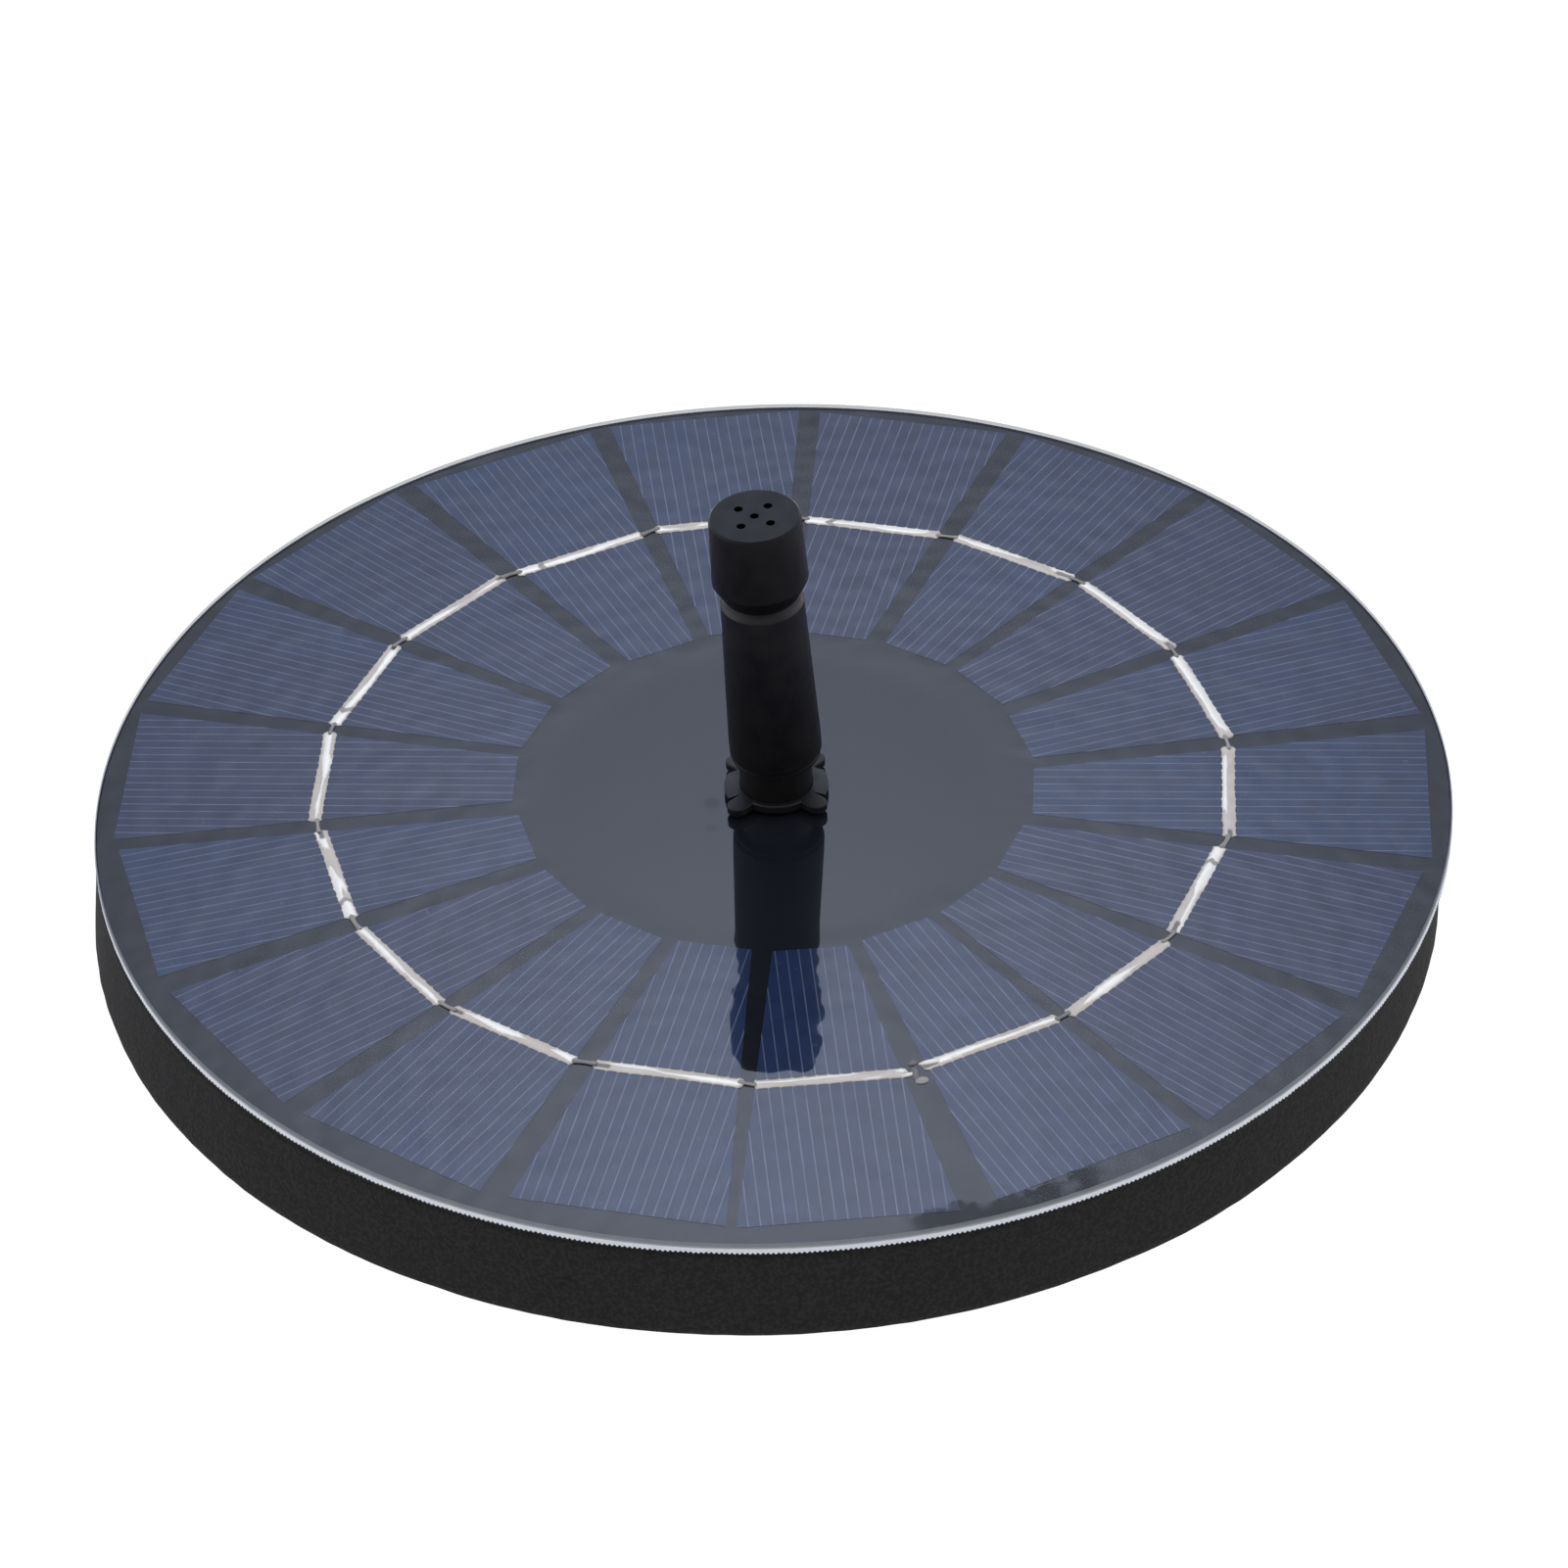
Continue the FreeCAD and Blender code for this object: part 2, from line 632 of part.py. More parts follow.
def build_motor_housing():
    """Rear half of the pump, with the closed well that the rotor turns in."""
    body = square_prism(PUMP_HALF, PUMP_CORNER, PUMP_SPLIT, PUMP_BACK)
    body = body.cut(disc(HOUSING_BORE_R, HOUSING_BORE_FRONT, PUMP_BACK))
    body = body.fuse([
        disc(CHAMBER_R - REGISTER_GAP, CHAMBER_BACK, PUMP_SPLIT),
        disc(WELL_R + WELL_WALL, PUMP_SPLIT, WELL_END + WELL_BOTTOM),
    ])
    body = body.cut([
        disc(WELL_R, CHAMBER_BACK, WELL_END),
        disc(SEAT_R, WELL_END, WELL_END + SEAT_DEPTH),
    ])
    body = body.cut([disc(SCREW_R, PUMP_SPLIT, SCREW_END + 0.5, x, y) for x, y in corners()])
    parts["motor_housing"] = on_pump(body.removeSplitter())


def build_screws():
    head_back = PUMP_FRONT + SCREW_HEAD_THICK
    slot_back = PUMP_FRONT + CROSS_DEPTH
    slot = box((-CROSS_HALF, -CROSS_SLOT_HALF, PUMP_FRONT), (CROSS_HALF, CROSS_SLOT_HALF, slot_back))
    cross = joined([slot, turned_about_z(slot, 90)])
    head = disc(SCREW_HEAD_R, PUMP_FRONT, head_back)
    screw = head.fuse(disc(SCREW_R, head_back, SCREW_END)).cut(cross)
    screws = [on_pump(placed(screw, Placement(Vector(x, y, 0), Rotation()))) for x, y in corners()]
    parts["housing_screws"] = Part.makeCompound(screws)


def at_each_pole(shape):
    """Copies of a shape, one at each of the stator's poles."""
    return [turned_about_z(shape, 360.0 / POLE_COUNT * index) for index in range(POLE_COUNT)]


def pole_sleeve(inner, outer, near, far):
    """Rectangular sleeve round a pole's tooth, from one distance off it to another."""
    around = box(
        (near, -TOOTH_HALF - outer, STATOR_FRONT - outer),
        (far, TOOTH_HALF + outer, STATOR_BACK + outer),
    )
    return around.cut(box(
        (near, -TOOTH_HALF - inner, STATOR_FRONT - inner),
        (far, TOOTH_HALF + inner, STATOR_BACK + inner),
    ))


def build_stator():
    yoke = ring(YOKE_R, YOKE_INNER_R, STATOR_FRONT, STATOR_BACK)
    tooth = box(
        (SHOE_INNER_R + 0.3, -TOOTH_HALF, STATOR_FRONT),
        (YOKE_INNER_R + 0.5, TOOTH_HALF, STATOR_BACK),
    )
    length = STATOR_BACK - STATOR_FRONT
    foot = UP * STATOR_FRONT
    shoe = Part.makeCylinder(SHOE_R, length, foot, UP, SHOE_ANGLE)
    shoe = shoe.cut(Part.makeCylinder(SHOE_INNER_R, length, foot))
    pole = tooth.fuse(turned_about_z(shoe, -SHOE_ANGLE / 2))
    parts["stator_core"] = on_pump(joined([yoke] + at_each_pole(pole)))

    bobbin_near = SHOE_R + 0.1
    bobbin_far = YOKE_INNER_R - 0.4
    bobbin = pole_sleeve(0.0, BOBBIN_WALL, bobbin_near, bobbin_far)
    coil = pole_sleeve(BOBBIN_WALL, COIL_BUILD, bobbin_near + 0.2, bobbin_far - 0.2)
    parts["coil_bobbins"] = on_pump(Part.makeCompound(at_each_pole(bobbin)))
    parts["stator_coils"] = on_pump(Part.makeCompound(at_each_pole(coil)))


def build_electronics():
    parts["control_board"] = on_pump(disc(CONTROL_R, CONTROL_FRONT, CONTROL_BACK))

    chip_half = 2.0
    chip_near = 7.0
    chip_far = 10.0
    chip_thick = 1.6
    parts["driver_chip"] = on_pump(box(
        (-chip_half, chip_near, CONTROL_FRONT - chip_thick), (chip_half, chip_far, CONTROL_FRONT)
    ))

    aside = CAPACITOR_AT * math.sqrt(0.5)
    capacitor = disc(CAPACITOR_R, CONTROL_FRONT - CAPACITOR_LENGTH, CONTROL_FRONT, aside, aside)
    parts["smoothing_capacitor"] = on_pump(capacitor)

    potting = disc(HOUSING_BORE_R, CONTROL_BACK, POTTING_BACK)
    potting = potting.cut(disc(LEAD_HOLE_R, CONTROL_BACK, POTTING_BACK, 0, LEAD_DROP))
    parts["potting_plug"] = on_pump(potting)

    flange_r = 2.7
    flange_back = PUMP_BACK + 0.6
    tail_back = PUMP_BACK + 4.0
    grommet = turned([
        (LEAD_HOLE_R, POTTING_BACK),
        (flange_r, POTTING_BACK),
        (flange_r, flange_back),
        (GROMMET_R, tail_back),
        (GROMMET_MOUTH_R, tail_back),
        (LEAD_HOLE_R, flange_back),
    ])
    grommet.translate(Vector(0, LEAD_DROP, 0))
    parts["pump_grommet"] = on_pump(grommet)


# ---- junction box under the panel ------------------------------------------------------

def box_inside(wall, low, high):
    """Block that leaves this much wall at the junction box's four sides."""
    return box((BOX_LEFT + wall, BOX_NEAR + wall, low), (BOX_RIGHT - wall, BOX_FAR - wall, high))


def build_junction_box():
    roof_low = BOARD_BOTTOM - BOX_ROOF
    shell = box_inside(0.0, BOX_BOTTOM, BOARD_BOTTOM).cut(box_inside(BOX_WALL, BOX_BOTTOM, roof_low))
    shell = shell.cut([disc(TERMINAL_R, roof_low, BOARD_BOTTOM, x, y) for x, y in TERMINALS])
    wall_inside = Vector(BOX_LEAD_X, BOX_FAR - BOX_WALL, BOX_LEAD_Z)
    parts["junction_box"] = shell.cut(Part.makeCylinder(GROMMET_R, BOX_WALL, wall_inside, BACK))

    lip = box_inside(BOX_WALL, BOX_BOTTOM, BOX_BOTTOM + LID_LIP)
    lip = lip.cut(box_inside(2 * BOX_WALL, BOX_BOTTOM, BOX_BOTTOM + LID_LIP))
    lid = box_inside(0.0, BOX_BOTTOM - LID_THICK, BOX_BOTTOM).fuse(lip)
    parts["junction_lid"] = lid.removeSplitter()

    # Pins from the backs of two cells down into the box.
    parts["panel_terminals"] = Part.makeCompound([
        disc(TERMINAL_R, TERMINAL_FOOT, BOARD_TOP, x, y) for x, y in TERMINALS
    ])

    # The blocking diode lies between the pins and the lead.
    diode_x, diode_z = DIODE_AT
    body = Part.makeCylinder(1.3, 5.0, Vector(diode_x, 13.0, diode_z), BACK)
    wires = Part.makeCylinder(0.35, 10.0, Vector(diode_x, 10.5, diode_z), BACK)
    parts["blocking_diode"] = body.fuse(wires)

    flange_r = 2.6
    tail_r = 2.0
    tail_end = 4.2
    grommet = turned([
        (LEAD_HOLE_R, 0),
        (GROMMET_R, 0),
        (GROMMET_R, BOX_WALL),
        (flange_r, BOX_WALL),
        (tail_r, tail_end),
        (GROMMET_MOUTH_R, tail_end),
        (LEAD_HOLE_R, BOX_WALL),
    ])
    parts["box_grommet"] = placed(grommet, Placement(wall_inside, Rotation(RIGHT, -90)))


# ---- lead --------------------------------------------------------------------------------

def rounded_path(points):
    """Straight runs joined by tangent arcs, each as large as its runs allow."""
    edges = []
    radii = []
    start = points[0]
    for before, corner, after in zip(points, points[1:], points[2:]):
        into = (corner - before).normalize()
        out = (after - corner).normalize()
        turn = into.getAngle(out)
        shorter = min((corner - before).Length, (after - corner).Length)
        cut_back = 0.45 * shorter
        radius = cut_back / math.tan(turn / 2)
        radii.append(radius)
        arc_start = corner - into * cut_back
        arc_end = corner + out * cut_back
        towards_centre = (out - into).normalize()
        centre = corner + towards_centre * (radius / math.cos(turn / 2))
        arc_middle = centre - towards_centre * radius
        edges.append(Part.LineSegment(start, arc_start).toShape())
        edges.append(Part.Arc(arc_start, arc_middle, arc_end).toShape())
        start = arc_end
    edges.append(Part.LineSegment(start, points[-1]).toShape())
    return Part.Wire(edges), radii


def build_lead():
    """Two-core lead from the pump's back, round into the junction box."""
    route = [
        (PUMP_X, CONTROL_BACK, LEAD_HEIGHT),
        (PUMP_X, PUMP_BACK + 7.0, LEAD_HEIGHT),
        (-7.1, 39.6, 21.6),
        (-17.9, 39.6, 23.8),
        (BOX_LEAD_X, PUMP_BACK + 7.0, BOX_LEAD_Z),
        (BOX_LEAD_X, BOX_FAR - BOX_WALL - 1.5, BOX_LEAD_Z),
    ]
    path, radii = rounded_path([Vector(*point) for point in route])
    section = Part.Wire([Part.Circle(Vector(*route[0]), BACK, LEAD_R).toShape()])
    lead = path.makePipeShell([section], True, False)
    parts["pump_lead"] = lead
    expected = math.pi * LEAD_R ** 2 * path.Length
    print(f"lead: length {path.Length:.1f}, volume {lead.Volume:.1f} of {expected:.1f}")
    print("lead: arcs " + ", ".join(f"{radius:.1f}" for radius in radii))


def main():
    build_panel()
    build_float()
    build_riser()
    build_cap()
    build_collar()
    build_volute_cover()
    build_strainer()
    build_rotor()
    build_shaft()
    build_motor_housing()
    build_screws()
    build_stator()
    build_electronics()
    build_junction_box()
    build_lead()

    os.makedirs("parts", exist_ok=True)
    for name, shape in parts.items():
        if not shape.isValid():
            raise ValueError(f"{name} is not a valid shape")
        shape.exportStep(f"parts/{name}.step")
        print(f"{name}: {len(shape.Solids)} solid(s), {shape.Volume:.1f} mm3")


main()
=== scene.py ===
import math
import random

import bmesh
import bpy
from mathutils import Matrix, Vector, noise


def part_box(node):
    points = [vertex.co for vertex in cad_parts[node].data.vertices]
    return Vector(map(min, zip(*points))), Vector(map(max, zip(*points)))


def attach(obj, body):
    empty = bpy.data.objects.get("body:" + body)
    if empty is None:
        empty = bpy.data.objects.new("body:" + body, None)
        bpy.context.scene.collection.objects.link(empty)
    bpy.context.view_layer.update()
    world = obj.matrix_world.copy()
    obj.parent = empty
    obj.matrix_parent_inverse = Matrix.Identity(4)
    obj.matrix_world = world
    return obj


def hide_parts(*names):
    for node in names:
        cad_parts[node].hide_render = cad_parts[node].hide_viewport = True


# Floating solar fountain. Metres. X to the right, Y to the back, Z up.

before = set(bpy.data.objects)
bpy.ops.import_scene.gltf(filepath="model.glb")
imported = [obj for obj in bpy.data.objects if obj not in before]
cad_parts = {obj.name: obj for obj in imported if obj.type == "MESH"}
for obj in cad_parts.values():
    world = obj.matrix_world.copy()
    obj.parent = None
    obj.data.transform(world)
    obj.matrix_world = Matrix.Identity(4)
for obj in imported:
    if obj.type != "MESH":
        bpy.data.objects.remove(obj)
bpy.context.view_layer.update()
MM = 0.001

# ---- places taken from the frame -----------------------------------------------------

board_low, board_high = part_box("backing_board")
foam_low, foam_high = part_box("float_ring")
washer_low, washer_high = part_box("outlet_washer")
ribbons_low, ribbons_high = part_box("cell_ribbons")

PANEL_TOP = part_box("clear_coat")[1].z
CELL_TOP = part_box("cell_01")[1].z
LINK_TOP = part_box("ribbon_links")[1].z
BOARD_TOP = board_high.z
PANEL_R = (board_high.x - board_low.x) / 2
FOAM_R = (foam_high.x - foam_low.x) / 2
FOAM_X = (foam_high.x + foam_low.x) / 2
STUB_X = (washer_high.x + washer_low.x) / 2
STUB_HOLE_R = 4.85 * MM        # the hole round the pump's stub, through the resin and its bed

# ---- camera --------------------------------------------------------------------------

LENS = 141.93                  # on a 36 mm sensor
CAMERA_DISTANCE = 0.7301       # from the middle of the panel's top
CAMERA_ELEVATION = 38.05       # degrees
CAMERA_ROLL = 2.155
CAMERA_YAW = -0.1105
CAMERA_PITCH = 0.0275


def add_camera():
    elevation = math.radians(CAMERA_ELEVATION)
    back = Vector((0, -math.cos(elevation), math.sin(elevation)))
    right = Vector((1, 0, 0))
    up = back.cross(right)
    yaw = Matrix.Rotation(math.radians(CAMERA_YAW), 3, up)
    back = yaw @ back
    right = yaw @ right
    pitch = Matrix.Rotation(math.radians(CAMERA_PITCH), 3, right)
    back = pitch @ back
    up = pitch @ up
    roll = Matrix.Rotation(math.radians(CAMERA_ROLL), 3, -back)
    right = roll @ right
    up = roll @ up
    data = bpy.data.cameras.new("camera")
    data.lens = LENS
    data.sensor_width = 36.0
    data.clip_start = 0.01
    data.clip_end = 20.0
    camera = bpy.data.objects.new("camera", data)
    stand = Vector((0, -math.cos(elevation), math.sin(elevation))) * CAMERA_DISTANCE
    axes = Matrix((right, up, back)).transposed().to_4x4()
    camera.matrix_world = Matrix.Translation(stand + Vector((0, 0, PANEL_TOP))) @ axes
    bpy.context.scene.collection.objects.link(camera)
    bpy.context.scene.camera = camera


add_camera()

# ---- node helpers --------------------------------------------------------------------

# The resin's top is flat over the hub, and wavy over the cells.
FLAT_REACH = 25 * MM
WAVY_REACH = 32 * MM
RIPPLE = 0.034 * MM            # from trough to crest
BROAD_WAVES = 110              # per metre
FINE_WAVES = 340


class Shader:
    """A material with one Principled shader, and short ways to add nodes to it."""

    def __init__(self, name, **values):
        self.material = bpy.data.materials.new(name)
        self.material.use_nodes = True
        self.tree = self.material.node_tree
        self.surface = self.tree.nodes["Principled BSDF"]
        for key, value in values.items():
            self.surface.inputs[key.replace("_", " ")].default_value = value

    def add(self, kind, **settings):
        node = self.tree.nodes.new("ShaderNode" + kind)
        for key, value in settings.items():
            setattr(node, key, value)
        return node

    def put(self, socket, value):
        """Link an output, or set a plain value."""
        if isinstance(value, bpy.types.NodeSocket):
            self.tree.links.new(value, socket)
        elif isinstance(value, tuple) and len(value) == 3 and len(socket.default_value) == 4:
            socket.default_value = (*value, 1)
        else:
            socket.default_value = value

    def place(self):
        """The point on the piece, in metres, in the frame at rest."""
        return self.add("TexCoord").outputs["Object"]

    def split(self, vector):
        node = self.add("SeparateXYZ")
        self.put(node.inputs[0], vector)
        return node.outputs

    def math(self, operation, *values):
        node = self.add("Math", operation=operation)
        for socket, value in zip(node.inputs, values):
            self.put(socket, value)
        return node.outputs[0]

    def local(self, origin, angle):
        """Places measured from an origin, along axes turned about Z by an angle in radians."""
        node = self.add("Mapping", vector_type="TEXTURE")
        self.put(node.inputs["Vector"], self.place())
        node.inputs["Location"].default_value = origin
        node.inputs["Rotation"].default_value = (0, 0, angle)
        return node.outputs[0]

    def stretched(self, vector, x, y, z):
        node = self.add("Mapping")
        self.put(node.inputs["Vector"], vector)
        node.inputs["Scale"].default_value = (x, y, z)
        return node.outputs[0]

    def distance(self, x, y):
        """Distance from the vertical line at x, y."""
        flat = self.add("VectorMath", operation="DISTANCE")
        here = self.stretched(self.place(), 1, 1, 0)
        self.put(flat.inputs[0], here)
        flat.inputs[1].default_value = (x, y, 0)
        return flat.outputs["Value"]

    def noise(self, scale, detail=2.0, rough=0.5, vector=None):
        """Cloudy noise; scale is in cells per metre."""
        node = self.add("TexNoise")
        self.put(node.inputs["Vector"], vector or self.place())
        node.inputs["Scale"].default_value = scale
        node.inputs["Detail"].default_value = detail
        node.inputs["Roughness"].default_value = rough
        return node.outputs[0]

    def crystals(self, scale, vector=None):
        """A random value from 0 to 1 for each grain; scale is in grains per metre."""
        node = self.add("TexVoronoi")
        self.put(node.inputs["Vector"], vector or self.place())
        node.inputs["Scale"].default_value = scale
        grey = self.add("RGBToBW")
        self.put(grey.inputs[0], node.outputs["Color"])
        return grey.outputs[0]

    def between(self, value, low, high, start=0.0, end=1.0):
        """Map low..high smoothly to start..end, clamped."""
        node = self.add("MapRange", interpolation_type="SMOOTHSTEP")
        self.put(node.inputs["Value"], value)
        node.inputs["From Min"].default_value = low
        node.inputs["From Max"].default_value = high
        node.inputs["To Min"].default_value = start
        node.inputs["To Max"].default_value = end
        return node.outputs[0]

    def mix(self, share, first, second):
        """Colour between two colours."""
        node = self.add("Mix", data_type="RGBA")
        self.put(node.inputs["Factor"], share)
        self.put(node.inputs[6], first)
        self.put(node.inputs[7], second)
        return node.outputs[2]

    def colour(self, value):
        self.put(self.surface.inputs["Base Color"], value)

    def rough(self, value):
        self.put(self.surface.inputs["Roughness"], value)

    def bump(self, height, depth, onto="Normal"):
        """Bumps of a height from 0 to 1, times a depth in metres, over any bumps already there."""
        node = self.add("Bump")
        node.inputs["Distance"].default_value = depth
        self.put(node.inputs["Height"], height)
        normal = self.surface.inputs[onto]
        if normal.is_linked:
            self.put(node.inputs["Normal"], normal.links[0].from_socket)
        self.put(normal, node.outputs[0])

    def under_resin(self, covered=1.0):
        """The gloss of the resin's top, on a surface that lies just under it. The resin is
        flat over the hub and wavy over the cells."""
        self.surface.inputs["Coat IOR"].default_value = 1.5
        self.surface.inputs["Coat Roughness"].default_value = 0.025
        self.put(self.surface.inputs["Coat Weight"], covered)
        over_cells = self.between(self.distance(0, 0), FLAT_REACH, WAVY_REACH)
        waves = self.math("ADD", self.noise(BROAD_WAVES, 0.0), self.noise(FINE_WAVES, 0.0))
        self.bump(self.math("MULTIPLY", waves, over_cells), RIPPLE, "Coat Normal")


def new_piece(name, build, body, material):
    """A mesh made by a function that fills a bmesh, as a piece that rides on a body."""
    draft = bmesh.new()
    build(draft)
    bmesh.ops.recalc_face_normals(draft, faces=draft.faces)
    mesh = bpy.data.meshes.new(name)
    draft.to_mesh(mesh)
    draft.free()
    mesh.materials.append(material)
    for face in mesh.polygons:
        face.use_smooth = True
    piece = bpy.data.objects.new(name, mesh)
    bpy.context.scene.collection.objects.link(piece)
    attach(piece, body)
    return piece


def loft(draft, rings, closed=False, capped=False):
    """Faces between rings of vertices that all have the same number of points."""
    loops = [[draft.verts.new(point) for point in ring] for ring in rings]
    pairs = list(zip(loops, loops[1:]))
    if closed:
        pairs.append((loops[-1], loops[0]))
    for one, other in pairs:
        for index in range(len(one)):
            following = (index + 1) % len(one)
            draft.faces.new((one[index], one[following], other[following], other[index]))
    if capped:
        draft.faces.new(loops[0])
        draft.faces.new(loops[-1])
    return loops


def dress(node, material):
    """Give a CAD node a material."""
    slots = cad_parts[node].data.materials
    slots.clear()
    slots.append(material)


# ---- where the cells lie -------------------------------------------------------------

CELL_COUNT = 18
CELL_NAMES = [f"cell_{number:02d}" for number in range(1, CELL_COUNT + 1)]
RIBBON_FROM_END = 23.0 * MM    # from a cell's inner end to its ribbon's middle line
RIBBON_HALF_LENGTH = 8.7 * MM


class CellPlace:
    """A cell's own axes: along it, away from the hub, and across it, anticlockwise."""

    def __init__(self, node):
        corners = {(round(v.co.x, 6), round(v.co.y, 6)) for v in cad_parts[node].data.vertices}
        by_reach = sorted((Vector(corner) for corner in corners), key=lambda corner: corner.length)
        self.inner_end = (by_reach[0] + by_reach[1]) / 2
        outer_end = (by_reach[-1] + by_reach[-2]) / 2
        self.along = (outer_end - self.inner_end).normalized()
        self.across = Vector((-self.along.y, self.along.x))
        self.angle = math.atan2(self.along.y, self.along.x)
        self.middle = self.inner_end + self.along * RIBBON_FROM_END

    def at(self, across, along, height):
        """A point measured from the middle of the cell's ribbon."""
        flat = self.middle + self.along * along + self.across * across
        return (flat.x, flat.y, height)


places = [CellPlace(node) for node in CELL_NAMES]

# ---- clear resin ---------------------------------------------------------------------

FROSTED_WIDTH = 0.2 * MM       # how far in from the resin's outline its milled rim reaches


def resin_rim_material():
    """The resin's rounded rim, where it was milled off with the board: frosted, so that
    light comes through it dimly."""
    shader = Shader("milled_resin", Roughness=0.3, IOR=1.5, Alpha=0.55)
    z = shader.split(shader.place())[2]
    top = shader.mix(shader.noise(500, 2.0), (0.27, 0.285, 0.31), (0.37, 0.385, 0.42))
    foot = shader.mix(shader.noise(900, 2.0), (0.52, 0.54, 0.57), (0.64, 0.66, 0.70))
    shader.colour(shader.mix(shader.between(z, BOARD_TOP, PANEL_TOP - 0.1 * MM), foot, top))
    shader.bump(shader.noise(900, 2.0), 0.00001)
    return shader.material


def resin_sheet_material():
    """The resin's top and underside: a faint film. Its gloss is the coat of what lies under
    it, so that the lines on the cells stay sharp."""
    shader = Shader("clear_resin_sheet", Roughness=0.05, IOR=1.5, Alpha=0.03)
    shader.colour(shader.mix(shader.noise(90, 3.0), (0.020, 0.024, 0.030), (0.040, 0.046, 0.055)))
    return shader.material


def ripple(x, y):
    """How far the poured resin stands above its mean height. It is flat over the hub
    and wavy over the cells."""
    reach = math.hypot(x, y)
    over_cells = min(1.0, max(0.0, (reach - FLAT_REACH) / (WAVY_REACH - FLAT_REACH)))
    broad = noise.noise(Vector((x * BROAD_WAVES, y * BROAD_WAVES, 3.1)))
    fine = noise.noise(Vector((x * FINE_WAVES, y * FINE_WAVES, 7.7)))
    return (broad + fine) * RIPPLE / 2 * over_cells


def build_resin(draft):
    hole_r = STUB_HOLE_R
    segments = 384
    ring_step = 0.8 * MM
    edge_round = 0.42 * MM
    edge_steps = 6
    foot = BOARD_TOP - 0.04 * MM
    flat_r = PANEL_R - edge_round
    count = int((flat_r - hole_r) / ring_step)

    def circle(radius, height, share, wavy):
        centre = STUB_X * (1 - share)
        points = []
        for index in range(segments):
            angle = 2 * math.pi * index / segments
            x = centre + radius * math.cos(angle)
            y = radius * math.sin(angle)
            points.append((x, y, height + (ripple(x, y) if wavy else 0.0)))
        return points

    rings = [circle(hole_r, foot, 0, False), circle(hole_r, PANEL_TOP - 0.1 * MM, 0, False)]
    for step in range(count + 1):
        share = step / count
        rings.append(circle(hole_r + (flat_r - hole_r) * share, PANEL_TOP, share, True))
    for step in range(1, edge_steps + 1):
        angle = math.pi / 2 * step / edge_steps
        radius = flat_r + edge_round * math.sin(angle)
        rings.append(circle(radius, PANEL_TOP - edge_round * (1 - math.cos(angle)), 1, False))
    rings.append(circle(PANEL_R, BOARD_TOP + 0.01 * MM, 1, False))
    rings.append(circle(PANEL_R - 0.1 * MM, foot, 1, False))
    loft(draft, rings, closed=True)


resin = new_piece("resin_coat", build_resin, "base", resin_rim_material())
resin.data.materials.append(resin_sheet_material())
for face in resin.data.polygons:
    if face.center.xy.length < PANEL_R - FROSTED_WIDTH:
        face.material_index = 1
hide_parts("clear_coat")

# ---- board ---------------------------------------------------------------------------

# Smears and dirt caught in the resin, and beside the collar's left ear two spots of painted shadow of the
# ear: x, y and radius in millimetres, and strength.
SMEARS_AND_SHADOWS = [
    (24.5, 52.0, 3.4, 0.3),
    (8.2, 76.2, 2.4, 0.3),
    (-7.2, -1.8, 1.6, 0.35),
    (-7.4, -6.5, 1.3, 0.3),
]
SMEAR_REACH = 76.3 * MM
SMEAR_MIDDLE = (23.5 * MM, -73.0 * MM)
DIRT_AND_SHADOW = (0.004, 0.004, 0.005)
BLACK_MASK = ((0.0088, 0.0106, 0.0160), (0.0122, 0.0146, 0.0208))


def board_material():
    """Black solder mask above and below, and a frosted edge where the sheet was milled."""
    shader = Shader("panel_board", IOR=1.45, Specular_IOR_Level=0.2)
    reach = shader.distance(0, 0)
    x, y, z = shader.split(shader.place())
    on_edge = shader.between(reach, PANEL_R - 0.12 * MM, PANEL_R - 0.06 * MM)
    round_rim = shader.math("MULTIPLY", shader.math("ARCTAN2", y, x), PANEL_R)
    teeth = shader.math("PINGPONG", round_rim, 0.28 * MM)
    uneven = shader.math("MULTIPLY", shader.noise(600, 2.0), 0.25 * MM)
    foot = shader.math("ADD", shader.math("ADD", teeth, uneven), board_low.z - 0.08 * MM)
    above_teeth = shader.between(shader.math("SUBTRACT", z, foot), -0.03 * MM, 0.03 * MM)
    frosted = shader.math("MULTIPLY", on_edge, above_teeth)
    edge = shader.mix(shader.noise(1600, 2.0), (0.67, 0.70, 0.76), (0.82, 0.85, 0.92))
    shader.colour(shader.mix(frosted, shader.mix(shader.noise(60, 3.0), *BLACK_MASK), edge))
    shader.rough(shader.between(on_edge, 0, 1, 0.45, 0.8))
    shader.bump(shader.noise(2500, 2.0), 0.00002)
    return shader.material


def rim_smear(shader):
    """How smeared the resin is in a ragged streak that runs along the inside of the rim."""
    reach = shader.distance(0, 0)
    ragged = shader.math("SUBTRACT", shader.noise(330, 3.0, 0.6), 0.5)
    inner = shader.math("ADD", reach, shader.math("MULTIPLY", ragged, 6 * MM))
    streak = shader.between(inner, SMEAR_REACH, SMEAR_REACH + 0.7 * MM)
    patchy = shader.between(shader.noise(260, 2.0), 0.28, 0.50, 0.2, 0.9)
    nearby = shader.between(shader.distance(*SMEAR_MIDDLE), 9 * MM, 13 * MM, 1.0, 0.0)
    return shader.math("MULTIPLY", shader.math("MULTIPLY", streak, nearby), patchy)


